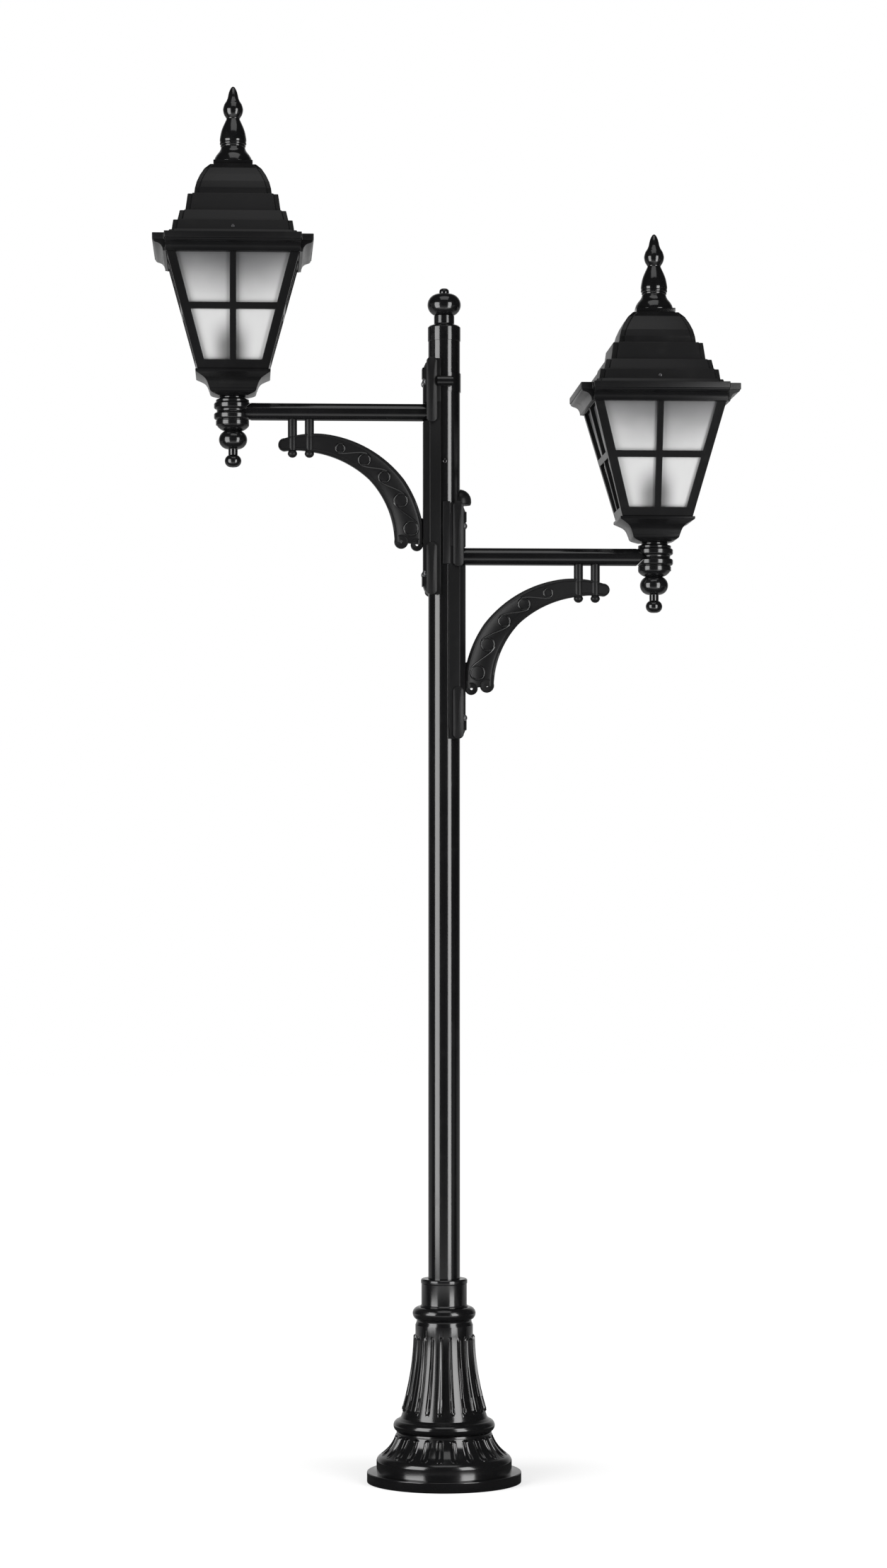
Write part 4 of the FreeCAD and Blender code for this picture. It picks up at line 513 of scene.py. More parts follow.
def finishes(context):
    """The lamp post's coats by name, made once. The two satin ones are listed under the castings' slot."""
    if not COATS:
        looks, dark = context.scene.lamp_post_looks, (0.03, 0.03, 0.03)
        made = {
            "black_gloss": powder_coat("gloss_black_coat", looks.coat, 0.14, 0.04),
            "black_casting": powder_coat("casting_black_coat", looks.coat, 0.15, 0.05),
            "black_roof": powder_coat("satin_roof_coat", looks.roof, 0.34, 0.10, 1.30),
            "lantern": powder_coat("lantern_black_coat", looks.bracket, 0.24, 0.06, 1.19),
            "bracket": powder_coat("satin_bracket_coat", looks.bracket, 0.36, 0.08, 1.25),
            "frosted": frosted_sheet("frosted_panes", looks.pane, looks.pane_shadow),
            "screw": screw_coat("rubbed_screw_coat"),
            "steel": bright_metal("zinc_plate", (0.55, 0.55, 0.56), 0.3, 180.0),
            "gasket": moulded("gasket_rubber", dark, 0.7, 300.0),
            "holder": moulded("holder_plastic", dark, 0.45, 500.0),
            "bulb": moulded("bulb_glass", (0.82, 0.81, 0.78), 0.18, 700.0),
            "white_plastic": moulded("terminal_plastic", (0.72, 0.72, 0.70), 0.4, 500.0),
            "cable": moulded("cable_sheath", dark, 0.55, 600.0),
        }
        for name, material in made.items():
            COATS[name] = Coat(material, "black_casting" if name in ("lantern", "bracket") else name)
    return COATS


# What a user may change


class LampPostSizes(bpy.types.PropertyGroup):
    """Sizes of the visible surfaces."""

    foot_radius: bpy.props.FloatProperty(
        name="Foot radius", description="Radius of the pedestal's foot", default=0.146, unit="LENGTH")
    pole_radius: bpy.props.FloatProperty(
        name="Pole radius", description="Outer radius of the pole", default=0.030, unit="LENGTH")
    arm_radius: bpy.props.FloatProperty(
        name="Arm radius", description="Outer radius of the arms", default=0.0165, unit="LENGTH")
    flute_count: bpy.props.IntProperty(
        name="Flutes", description="Flutes round the foot's cove", default=24, min=6)
    flute_depth: bpy.props.FloatProperty(
        name="Flute depth", description="Depth of a flute in the cove", default=0.003, unit="LENGTH")
    rib_count: bpy.props.IntProperty(
        name="Bell ribs", description="Raised ribs round the bell", default=20, min=4)
    rib_height: bpy.props.FloatProperty(
        name="Rib height", description="How far a rib stands off the bell", default=0.0038, unit="LENGTH")
    rim_height: bpy.props.FloatProperty(
        name="Brace rim", description="How far the brace's rim stands off its panel", default=0.002,
        unit="LENGTH")


class LampPostLooks(bpy.types.PropertyGroup):
    """Colours and lights."""

    coat: bpy.props.FloatVectorProperty(
        name="Coat", description="Colour of the glossy coat", subtype="COLOR",
        default=(0.0030, 0.0030, 0.0032))
    roof: bpy.props.FloatVectorProperty(
        name="Roof", description="Colour of the satin roof", subtype="COLOR",
        default=(0.0034, 0.0034, 0.0036))
    bracket: bpy.props.FloatVectorProperty(
        name="Brackets", description="Colour of the satin rails, braces and lanterns", subtype="COLOR",
        default=(0.0040, 0.0040, 0.0042))
    pane: bpy.props.FloatVectorProperty(
        name="Pane", description="Colour of the frosted panes", subtype="COLOR", default=(0.34, 0.34, 0.34))
    # Colour of the painted shade on the panes under the roof.
    pane_shadow: bpy.props.FloatVectorProperty(
        name="Pane shade", description="Colour of the panes under the roof", subtype="COLOR",
        default=(0.050, 0.050, 0.052))
    left_light: bpy.props.FloatProperty(
        name="Left light", description="Power of the wide soft box on the left", default=128.0, unit="POWER")
    right_light: bpy.props.FloatProperty(
        name="Right light", description="Power of the narrower soft box on the right", default=102.0,
        unit="POWER")
    top_light: bpy.props.FloatProperty(
        name="Top light", description="Power of the soft light overhead", default=40.0, unit="POWER")


# Pieces of the post


def capsule(angle, radius, count, wide, beyond):
    """How far inside the outline of the nearest of count capsules round the axis a point lies: its half width
    less hypot(across, max(beyond, 0)), where beyond is the way past the end of the capsule's straight
    part."""
    turn = 2.0 * math.pi / count
    across = (np.mod(angle, turn) - turn / 2.0) * radius
    return wide - np.hypot(across, np.maximum(beyond, 0.0))


class LAMP_OT_pedestal(bpy.types.Operator):
    """Dress the pedestal: fluted foot, ribbed bell and collar."""

    bl_idname = "lamp_post.pedestal"
    bl_label = "Pedestal"

    def execute(self, context):
        sizes, coats = context.scene.lamp_post_sizes, finishes(context)
        foot = sizes.foot_radius / MM
        profile = traced(
            [(122, 0), (foot, 0), (foot, 18), (foot - 2, 20), (128, 20), (128, 40), (120, 51), (90, 91),
             (90, 96), (78, 96), (122, 4), (122, 0)], {2: (0.41, 5), 5: (0.25, 12), 6: (-0.18, 60)})

        def flute(angle, radius, height):
            """A narrow trough with round ends: the rim is a hump about the capsule's outline, the trough lies
            inside it. The slant is the cove's length over its height."""
            middle, half_length, slant, rim_height, rim_width = 0.0708, 0.0232, 1.24, 0.0014, 0.0016
            wide = math.radians(3.3) * radius
            inside = capsule(angle, radius, sizes.flute_count, wide,
                             np.abs(height - middle) * slant - half_length + wide)
            rim = rim_height * (smooth_step(inside, -rim_width, 0.0) - smooth_step(inside, 0.0, rim_width))
            dip = sizes.flute_depth * smooth_step(inside, 0.0004, 0.0048)
            on_cove = (height > 0.0515) & (height < 0.0902) & (radius > 0.0900)
            return np.where(on_cove, rim - dip, 0.0)

        make_piece("cast_foot", [lathe(MM * rounded(profile, 0.9, 2), 624, flute)], coats["black_casting"],
                   ["pedestal_foot"], 30.0)
        bell = traced([(78, 96), (88, 96), (88, 118), (82, 122), (54.5, 279), (54.5, 297), (52, 303),
                       (52, 307), (50, 331), (30.3, 331), (30.3, 286), (45.5, 279), (73, 122), (78, 96)],
                      {1: (0.73, 10), 3: (-0.08, 52), 7: (0.72, 10), 11: (0.08, 4)})

        def rib(angle, radius, height):
            """A round-ended strip 8 degrees wide, which rises over 1.8 mm inside the capsule's outline and
            has a faint hollow along its middle."""
            middle, half_length = 0.2065, 0.0715
            wide = math.radians(4.0) * radius
            inside = capsule(angle, radius, sizes.rib_count, wide,
                             np.abs(height - middle) - half_length + wide)
            hollow = 0.28 * smooth_step(inside, 0.0020, 0.0042)
            rise = sizes.rib_height * (smooth_step(inside, 0.0, 0.0018) - hollow)
            return np.where((height > 0.124) & (height < 0.2785) & (radius > 0.0544), rise, 0.0)

        make_piece("cast_bell", [lathe(MM * rounded(bell, 0.8, 2), 640, rib)], coats["black_casting"],
                   ["pedestal_bell"], 40.0)
        collar = rounded([(30.3, 331), (45, 331), (45, 333), (43, 335), (43, 374.5), (43.9, 376), (43.9, 382),
                          (42, 384), (30.3, 384), (30.3, 331)],
                         [0, 0.8, 0.8, 0.5, 0.5, 0.5, 2.0, 1.0, 0.6, 0], 4)
        make_piece("pedestal_collar", [lathe(MM * collar, 128)], coats["black_gloss"], ["pole_collar"])
        return {"FINISHED"}


class LAMP_OT_pole(bpy.types.Operator):
    """Dress the pole, its cap with the flattened ball, and the small screw on its front."""

    bl_idname = "lamp_post.pole"
    bl_label = "Pole and cap"

    def execute(self, context):
        sizes, coats = context.scene.lamp_post_sizes, finishes(context)
        radius = sizes.pole_radius / MM
        tube = [(radius, 10), (radius, 2157), (radius - 3, 2157), (radius - 3, 10), (radius, 10)]
        make_piece("round_pole", [lathe(MM * np.array(tube), 160)], coats["black_gloss"], ["pole"])
        cap = rounded([(0, 2140), (26.5, 2140), (26.5, 2157), (30.9, 2157), (30.9, 2183), (27.9, 2186),
                       (19.2, 2189), (19.2, 2205), (0, 2205)], [0, 0.5, 0.3, 0.8, 1.2, 1.2, 2.5, 0.3, 0], 5)
        make_piece("pole_cap_turned", [lathe(MM * cap, 128)], coats["black_gloss"], ["pole_cap"])
        ball = traced([(0, 2205), (14, 2205), (8.8, 2247), (9.4, 2250), (8.7, 2254), (1.8, 2257), (0, 2257)],
                      {1: (0.95, 48), 4: (0.3, 12)})
        make_piece("cap_ball_turned", [lathe(MM * ball, 128)], coats["black_gloss"], ["cap_ball"])
        dome = traced([(0, 18), (2.4, 18), (2.4, 30), (5.0, 30), (5.0, 30.5), (1.0, 32.6), (0, 32.6)],
                      {4: (0.4, 12)})
        screw_height = 1.928
        make_piece("pole_front_screw", [moved(turned_to(lathe(MM * dome, 48), "-Y"), z=screw_height)],
                   coats["black_gloss"], ["terminal_screw"])
        return {"FINISHED"}


def brace_band(rim_height):
    """The curved band between its two edges, with a round tip. Each line across it has a rim at both edges
    that stands proud of the panel between them, and near the tip the rim runs right across."""
    count = 120
    outer = arcs_through(np.array(OUTER_EDGE) * (BRACE_REACH, -BRACE_DROP))
    inner = arcs_through(np.array(INNER_EDGE) * (BRACE_REACH, -BRACE_DROP))
    turn = np.linspace(1.55, 0.1, 12)
    middle, half = (outer[0] + inner[0]) / 2.0, (outer[0] - inner[0]) / 2.0
    tip = middle + np.sin(turn)[:, None] * (np.linalg.norm(half), 0.0)
    outer = np.concatenate([tip + np.cos(turn)[:, None] * half, spaced(outer, count)])
    inner = np.concatenate([tip - np.cos(turn)[:, None] * half, spaced(inner, count)])
    share = np.array([-1.0, -0.985, -0.95, -0.80, -0.74, -0.66, 0.0, 0.66, 0.74, 0.80, 0.95, 0.985, 1.0])
    rim = np.array([0.0, 0.6, 1.0, 1.0, 0.75, 0.0, 0.0, 0.0, 0.75, 1.0, 1.0, 0.6, 0.0])
    full = np.array([0.0, 0.6] + [1.0] * 9 + [0.6, 0.0])
    near_tip = np.concatenate([smooth_step(turn, 0.75, 1.0), np.zeros(count)])
    rise = np.maximum(rim[None, :], near_tip[:, None] * full[None, :])
    across = (share + 1.0) / 2.0
    middle = outer[:, None] * (1.0 - across)[None, :, None] + inner[:, None] * across[None, :, None]
    depth = BRACE_HALF_DEPTH + rim_height * rise
    front, back = (np.stack([middle[..., 0], side * depth, middle[..., 1]], axis=-1) for side in (-1.0, 1.0))
    return surface(np.concatenate([front, back[:, ::-1]], axis=1) * MM, caps=True)


def brace_lobe(out, down, size):
    """A disc through the band, with a small eye in its middle and a raised rim on both faces."""
    wide = size * BRACE_DROP
    face = [(2.6, 6.3), (wide - 2.8, 6.3), (wide - 2.2, 7.3), (wide - 0.9, 7.3), (wide, 6.0)]
    disc = rounded([(x, -y) for x, y in face] + face[::-1] + [(2.6, -6.3)], 0.4, 2)
    return moved(turned_to(lathe(MM * disc, 64), "Y"), x=out * BRACE_REACH * MM, z=-down * BRACE_DROP * MM)


def brace_relief():
    """The rings on both faces of the band, and the curls that lead from each one to the next."""
    angle, relief = np.linspace(0.0, 2.0 * math.pi, 64, endpoint=False), []
    for side in (-1.0, 1.0):
        for out, down, size in RINGS:
            radius = size * BRACE_DROP - 1.4
            path = np.column_stack([out * BRACE_REACH + radius * np.cos(angle),
                                    np.full(64, side * BRACE_FACE),
                                    -down * BRACE_DROP + radius * np.sin(angle)])
            relief.append(closed_tube(path * MM, 1.8 * MM))
        for first, second in zip(RINGS, RINGS[1:]):
            relief.append(swept(curl(first, second, side) * MM, 1.3 * MM))
    return relief


def curl(first, second, side):
    """An S-shaped line from one ring's rim to the next one's: a cubic whose ends leave along the line between
    their centres."""
    a = np.array([first[0] * BRACE_REACH, -first[1] * BRACE_DROP])
    b = np.array([second[0] * BRACE_REACH, -second[1] * BRACE_DROP])
    along = (b - a) / np.linalg.norm(b - a)
    aside = np.array([-along[1], along[0]])
    start, stop = a + aside * first[2] * BRACE_DROP, b - aside * second[2] * BRACE_DROP
    leave, arrive = start + along * first[2] * BRACE_DROP * 1.1, stop - along * second[2] * BRACE_DROP * 1.1
    share = np.linspace(0.0, 1.0, 24)[:, None]
    path = ((1 - share) ** 3 * start + 3 * share * (1 - share) ** 2 * leave
            + 3 * share ** 2 * (1 - share) * arrive + share ** 3 * stop)
    return np.column_stack([path[:, 0], np.full(len(path), side * BRACE_FACE), path[:, 1]])


def wall_rail(arm, coats):
    """A saddle of one section along the pole, with slanted facets. It is cut back beside the arm, and has
    round-ended pads at both ends of its cheeks and a lip at both ends of its web."""
    saddle, near, web, half_wide, half_web, pad_face = 30.3, 8.0, 40.0, 34.0, 14.1, 38.0
    section = rounded([(near, -half_wide), (28.5, -half_wide), (web, -half_web), (web, half_web),
                       (28.5, half_wide), (near, half_wide)], [1.2, 3.2, 3.2, 3.2, 3.2, 1.2], 5, closed=True)
    turn = np.linspace(math.acos(near / saddle), -math.acos(near / saddle), 24)
    section = np.concatenate([section, saddle * np.column_stack([np.cos(turn), np.sin(turn)])])
    # Each height with how far the section is cut back there.
    levels = [(-345.6, 18.0), (-344.6, 13.0), (-343.0, 9.5), (-340.0, 6.0), (-336.0, 3.2), (-331.0, 1.2),
              (-325.0, 0.2), (-322.0, 0.0), (-18.1, 0.0), (-17.3, 0.6), (-16.8, 15.0), (16.8, 15.0),
              (17.3, 0.6), (18.1, 0.0), (78.0, 0.0), (82.0, 0.4), (87.0, 1.6), (92.0, 3.9), (95.6, 7.0),
              (98.0, 11.0), (99.4, 16.0)]
    rows = []
    for height, back in levels:
        x = np.minimum(section[:, 0], web - back)
        y = np.clip(section[:, 1], -half_wide + min(back, 1.2), half_wide - min(back, 1.2))
        rows.append(np.column_stack([x, y, np.full(len(x), height)]))
    shapes = [surface(MM * np.stack(rows), caps=True)]
    for foot, top in ((-21.0, 102.0), (-346.0, -247.0)):
        corners = rectangle(15.0, 35.0, foot + 7, top - 7)
        pill = traced(corners + corners[:1], {0: (0.7, 14), 2: (0.7, 14)})[:-1]
        pill = rounded(pill, 0.2, 1, closed=True)
        for low, high in ((-pad_face, 5.0 - pad_face), (pad_face - 5.0, pad_face)):
            shapes.append(slab(MM * pill, low * MM, high * MM, 1.6 * MM))
    for foot, top in ((64.0, 84.0), (-329.0, -309.0)):
        lip = rounded(rectangle(38, 42, foot, top), 1.8, 4, closed=True)
        shapes.append(slab(MM * lip, -half_web * MM, half_web * MM, 0.8 * MM))
    if arm.name == "lower":
        dome = traced([(0, 98), (20.3, 98), (21.9, 106), (0, 128)], {1: (0.18, 4), 2: (0.41, 16)})
        shapes.append(moved(lathe(MM * dome, 64), x=0.030, y=0.010))
        tongue = rounded(rectangle(-4, 10, -16, 102), 1.5, 3, closed=True)
        shapes.append(slab(MM * tongue, -half_wide * MM, -27.0 * MM, 0.8 * MM))
    bracket_piece(arm, "_rail", shapes, coats["bracket"], "_wall_rail", crease=40.0)


def arm_tube(arm, sizes, coats):
    """A tube from the pole to the socket, whose far end is pointed at 45 degrees up and down."""
    angle = np.linspace(0.0, 2.0 * math.pi, 96, endpoint=False)
    y, z = sizes.arm_radius * np.cos(angle), sizes.arm_radius * np.sin(angle)
    near = np.sqrt(np.maximum(sizes.pole_radius ** 2 - y ** 2, 0.0))
    point = 0.382
    far = point - np.abs(z)
    rows = [np.column_stack([near, y * 0.8, z * 0.8]), np.column_stack([near, y, z]),
            np.column_stack([far - 0.0006, y, z]), np.column_stack([far, y * 0.96, z * 0.96]),
            np.column_stack([far, y * 0.8, z * 0.8])]
    bracket_piece(arm, "_arm", [surface(np.stack(rows), round_rows=True)], coats["black_gloss"], "_arm_tube")


def curved_brace(arm, rim_height, coats):
    """The band with its two lobes, a boss round each pin and the lug against the rail. The rings and curls on
    its faces are a piece of their own, in a glossier coat."""
    boss = bored(4.6, 8.7, -73, -47, 0.8, 3)
    lug = rounded(rectangle(40.2, 52.0, -223.0, -200.0), 2.0, 3, closed=True)
    shapes = [brace_band(rim_height / MM), *(brace_lobe(*lobe) for lobe in LOBES),
              *(moved(boss, x=place * MM) for place in PIN_PLACES),
              slab(MM * lug, -0.006, 0.006, 0.001)]
    bracket_piece(arm, "_brace", shapes, coats["bracket"], "_curved_brace", crease=40.0)
    bracket_piece(arm, "_brace_rings", brace_relief(), coats["black_casting"], crease=40.0)


def brace_pins(arm, coats):
    """Two spacers under the arm, each with a ball below the brace."""
    shapes = []
    for pin in PIN_PLACES:
        top = rounded(rectangle(0, 8.7, -47, -4), 0.6, 2)
        ball = traced([(0, -86.5), (9.0, -79), (6.5, -73), (0, -73)], {0: (0.38, 16), 1: (0.15, 8)})
        shapes += [moved(lathe(MM * part, 64), x=pin * MM) for part in (top, ball)]
    bracket_piece(arm, "_pins", shapes, coats["bracket"], "_brace_pins", slot="black_gloss")


def rail_screws(arm, coats):
    """Dome heads with a sunk round socket, square to the rail's slanted facets."""
    shapes = []
    head = traced([(0, 25), (3, 25), (3, 41.7), (6.2, 41.7), (6.2, 43.0), (2.7, 47.6), (2.2, 47.5),
                   (2.2, 45.4), (0, 45.2)], {4: (0.36, 12)})
    for turn in (30.0, -30.0):
        for height in (56.0, -306.0):
            shapes.append(moved(turned_to(lathe(MM * head, 48), "X"), z=height * MM,
                                spin=math.radians(turn)))
    bracket_piece(arm, "_facet_screws", shapes, coats["screw"], "_rail_screws")


def lantern_socket(arm, coats):
    """Rings with hollows between them, whose waist is notched for the pointed end of the arm: where the
    notch's 45 degree walls lie nearer the axis than the rings, they take over from them."""
    rings = [(0, -26.5), (30.6, -26.5), (31.4, -25.6), (31.4, -18), (30, -16.4), (33.8, -14.6),
             (35.0, -12.4), (35.0, -5.4), (33.8, -3.6), (30.4, -2.4), (29.4, 0.6), (30.4, 3.6), (33.8, 5.0),
             (35.0, 7.0), (35.0, 14.0), (33.8, 15.9), (30.6, 17.2), (31.4, 18.4), (31.4, 21.8),
             (29.0, 22.6), (25.0, 23.6), (25.0, 27.9), (0, 27.9)]
    rings = MM * spaced(rounded(rings, 1.6, 4), 260)

    def notch(angle, radius, height):
        """Draws the radius in to the wall x = -(17.2 + |z|), in millimetres, on the arm's side."""
        facing = np.maximum(-np.cos(angle), 0.05)
        wall = (0.0172 + np.abs(height)) / facing
        return np.where(np.abs(height) < 0.0228, np.minimum(wall - radius, 0.0), 0.0)

    bracket_piece(arm, "_ringed_socket", [moved(lathe(rings, 288, notch), x=SOCKET_OUT)],
                  coats["black_casting"], "_lantern_socket", crease=50.0, slot="black_gloss")


class LAMP_OT_brackets(bpy.types.Operator):
    """Dress the two brackets: wall rails, screws, arm tubes, curved braces, their pins and the sockets."""

    bl_idname = "lamp_post.brackets"
    bl_label = "Brackets"

    def execute(self, context):
        sizes, coats = context.scene.lamp_post_sizes, finishes(context)
        for arm in ARMS:
            wall_rail(arm, coats)
            arm_tube(arm, sizes, coats)
            curved_brace(arm, sizes.rim_height, coats)
            brace_pins(arm, coats)
            rail_screws(arm, coats)
            lantern_socket(arm, coats)
        return {"FINISHED"}


# Pieces of the lanterns


def half_width(height):
    """Half width of the lantern's outside at a height, in millimetres."""
    slope = (FRAME_TOP - FRAME_FOOT) / (FRAME_TOP_HEIGHT - FRAME_FOOT_HEIGHT)
    return FRAME_FOOT + slope * (height - FRAME_FOOT_HEIGHT)


class LAMP_OT_lantern_ends(bpy.types.Operator):
    """Dress what is turned on each lantern: pendant and finial."""

    bl_idname = "lamp_post.lantern_ends"
    bl_label = "Pendants and finials"

    def execute(self, context):
        coats = finishes(context)
        pendant = traced([(0, -104.5), (8.8, -82.5), (8.8, -71), (16, -37), (30.6, -26.5), (0, -26.5)],
                         {0: (0.95, 32), 2: (0.82, 36), 3: (0.2, 12)})
        plate = rounded(rectangle(0, 36.9, 461, 469), 1.4, 3)
        plate = square_stack(MM * plate, np.zeros(len(plate)), 0.0025)
        skirt = smooth_curve([(36.6, 468.5), (36.4, 471), (34.6, 477), (31.2, 483), (27.2, 488),
                              (24.3, 492.5), (22.8, 497)], 5)
        bead = [(22.4, 498.0), (23.6, 499.0), (23.9, 500.6), (23.2, 502.0), (23.4, 502.6), (24.9, 503.4),
                (25.2, 505.4), (24.7, 507.0)]
        urn = smooth_curve([(24.6, 508), (25.2, 512), (24.1, 520), (22.4, 528), (19.6, 536), (16.0, 544),
                            (13.2, 550), (12.6, 552.6), (14.4, 555.6), (17.2, 560.5), (18.8, 567),
                            (18.7, 572), (16.4, 579.5), (13.0, 585), (10.4, 591), (9.0, 597.5), (7.4, 603.5),
                            (4.6, 609.5), (2.0, 612.6), (0, 613)], 6)
        turned = np.concatenate([[[0.0, 468.0]], skirt, rounded(bead, 0.6, 2), urn])
        for arm in ARMS:
            lantern_piece(arm, "_drop", [lathe(MM * rounded(pendant, 0.5, 2), 96)], coats["black_gloss"],
                          "_pendant")
            lantern_piece(arm, "_finial", [plate, lathe(MM * turned, 96)], coats["black_gloss"],
                          "_roof_finial", body=arm.name + "_roof_lid")
        return {"FINISHED"}


def lantern_tray(arm, coats):
    """An ogee bowl of square plan under an upright lip."""
    ogee = smooth_curve([(28, 28), (41.5, 33.7), (45.2, 42.1), (48.6, 51.0), (53.4, 57.6), (61.0, 62.6),
                         (69.8, 67.4)], 10)
    shape = np.concatenate([[[0.0, 28.0]], ogee, [[70.4, 68.4], [70.4, 72.6], [58.5, 72.6], [50.0, 60.0],
                                                  [38.0, 34.0], [0.0, 34.0]]])
    shape = rounded(shape, 0.7, 2)
    lantern_piece(arm, "_tray", [square_stack(MM * shape, np.zeros(len(shape)), 0.003)], coats["lantern"],
                  "_lantern_tray", crease=35.0)


def cornice(arm, coats):
    """An ogee moulding under the roof's edge, whose corners are notched back to the same inner corner at
    every level."""
    ogee = smooth_curve([(130.0, 283.2), (130.6, 287.4), (132.4, 292.0), (135.6, 295.8), (139.6, 298.0),
                         (144.0, 299.4), (147.2, 301.2), (148.6, 304.0)], 5)
    inside, inner_corner = 124.4, 126.1
    shape = np.concatenate([[[inside, 282.8]], ogee, [[148.4, 304.6], [inside, 304.6], [inside, 282.8]]])
    notches = np.maximum(shape[:, 0] - inner_corner, 0.0)
    lantern_piece(arm, "_cornice", [square_stack(MM * shape, MM * notches, 0.0015)], coats["lantern"],
                  crease=35.0)


def side_frame(arm, side, number, coats):
    """A leaning plate with four openings, softened all round: a grid of cells with four of them left out."""
    heights = np.array([FRAME_FOOT_HEIGHT, 89.6, 180.8, 192.8, 283.0, FRAME_TOP_HEIGHT])
    half, thick, stile, half_bar = half_width(heights), 8, 17, np.full(6, 6.0)
    lines = [(-half, -half + thick), (-half + stile, -half + stile), (-half_bar, -half_bar),
             (half_bar, half_bar), (half - stile, half - stile), (half, half - thick)]
    front = np.stack([np.column_stack([line[0], -half, heights]) for line in lines], axis=1)
    back = np.stack([np.column_stack([line[1], -half + thick, heights]) for line in lines], axis=1)
    points = MM * np.concatenate([front.reshape(-1, 3), back.reshape(-1, 3)])
    open_cell = np.zeros((5, 5), bool)
    open_cell[1::2, 1::2] = True
    solid = np.pad(~open_cell, 1)
    faces = []
    for row, column in np.argwhere(~open_cell):
        low = row * 6 + column
        corner = np.array([low, low + 1, low + 7, low + 6])
        faces += [corner.tolist(), (corner[::-1] + 36).tolist()]
        for (step_row, step_column), (a, b) in (((-1, 0), (0, 1)), ((0, 1), (1, 2)), ((1, 0), (2, 3)),
                                                ((0, -1), (3, 0))):
            if not solid[row + 1 + step_row, column + 1 + step_column]:
                faces.append([corner[b], corner[a], corner[a] + 36, corner[b] + 36])
    plate = moved((points, [list(map(int, face)) for face in faces]), spin=number * math.pi / 2.0)
    lantern_piece(arm, "_%s_casting" % side, [plate], coats["lantern"], "_%s_frame" % side, crease=30.0,
                  bevel=0.0011)


def frosted_panes(arm, coats):
    """Four leaning sheets behind the frames, mapped across and up."""
    foot, top = 75.6, 289.7
    heights = np.linspace(foot, top, 24)
    outer, inner = half_width(heights) - 8.0, half_width(heights) - 11.0
    across = np.linspace(-1.0, 1.0, 12)[None] * (inner - 0.3)[:, None]
    level = np.repeat(heights[:, None], 12, 1)
    front, back = (np.stack([across, -np.repeat(depth[:, None], 12, 1), level], axis=-1)
                   for depth in (outer, inner))
    sheet = surface(MM * np.concatenate([front, back[:, ::-1]], axis=1), caps=True)
    shapes = [moved(sheet, spin=number * math.pi / 2.0) for number in range(4)]
    pane = lantern_piece(arm, "_frosted_panes", shapes, coats["frosted"], "_panes", crease=30.0)
    layer = pane.data.uv_layers.new(name="pane")
    corner = np.empty(len(pane.data.loops), dtype=np.int32)
    pane.data.loops.foreach_get("vertex_index", corner)
    where = np.empty(len(pane.data.vertices) * 3)
    pane.data.vertices.foreach_get("co", where)
    where = where.reshape(-1, 3)
    x, y = where[:, 0] - arm.way * LANTERN_OUT, where[:, 1]
    up = (where[:, 2] - arm.height - foot * MM) / ((top - foot) * MM)
    half = np.maximum(np.abs(x), np.abs(y))
    across = np.where(np.abs(y) >= np.abs(x), x, y) / half * 0.5 + 0.5
    layer.data.foreach_set("uv", np.column_stack([across, up])[corner].ravel())


class LAMP_OT_lantern_bodies(bpy.types.Operator):
    """Dress each lantern's tray, cornice, side frames and panes."""

    bl_idname = "lamp_post.lantern_bodies"
    bl_label = "Trays, frames and panes"

    def execute(self, context):
        coats = finishes(context)
        for arm in ARMS:
            lantern_tray(arm, coats)
            cornice(arm, coats)
            for number, side in enumerate(("front", "right", "back", "left")):
                side_frame(arm, side, number, coats)
            frosted_panes(arm, coats)
        return {"FINISHED"}


class LAMP_OT_roofs(bpy.types.Operator):
    """Dress each lantern's roof and its small front screw."""

    bl_idname = "lamp_post.roofs"
    bl_label = "Roofs"

    def execute(self, context):
        """The roof is one profile with a notch of its own at each level: dome, courses and fascia outside,
        and the thin-walled hollow inside."""
        coats = finishes(context)
        hinge_back, hinge_height, screw_height = 0.158, 0.311, 0.332
        outer = [(0, 461), (43.1, 461), (53.7, 450.9), (62.0, 437.1), (67.9, 423.8), (71.2, 411.2), (73, 398),
                 (84.5, 398), (89.2, 364.4), (99, 364.4), (103.5, 344.9), (111, 344.9), (114, 325.4),
                 (118.5, 325.4), (121.7, 316.7), (150, 316.7), (150, 304.7)]
        inner = [(109, 304.7), (105.8, 321), (98.3, 322), (98.3, 345), (86.3, 345), (86.3, 364.4),
                 (71.8, 364.4), (71.8, 394), (60.3, 394), (55, 424), (41, 451), (0, 453)]
        notches = [0] + [8.7] * 14 + [22.5] * 2 + [0] * len(inner)
        profile = rounded(np.column_stack([outer + inner, notches]),
                          [0] + [2.2] * 5 + [1.1] * 11 + [0.6] * 11 + [0], 3)
        shape = square_stack(MM * profile[:, :2], MM * profile[:, 2], 0.0018)
        leaf = rounded(rectangle(-15, 15, 304.9, 316.5), 0.8, 2, closed=True)
        leaf = slab(MM * leaf, 0.146, hinge_back, 0.0005)
        knuckle = moved(turned_to(bored(2.6, 6, -15, 15, 0.6, 2), "X"), y=hinge_back, z=hinge_height)
        head = traced([(0, 98), (2, 98), (2, 111), (4.2, 111), (0.9, 113.4), (0, 113.4)], {3: (0.4, 10)})
        screw = moved(turned_to(lathe(MM * head, 48), "-Y"), z=screw_height)
        for arm in ARMS:
            lid = arm.name + "_roof_lid"
            lantern_piece(arm, "_roof_casting", [shape, leaf, knuckle], coats["black_roof"], "_roof",
                          crease=35.0, body=lid)
            lantern_piece(arm, "_roof_front_screw", [screw], coats["screw"], "_roof_screw", body=lid)
        return {"FINISHED"}


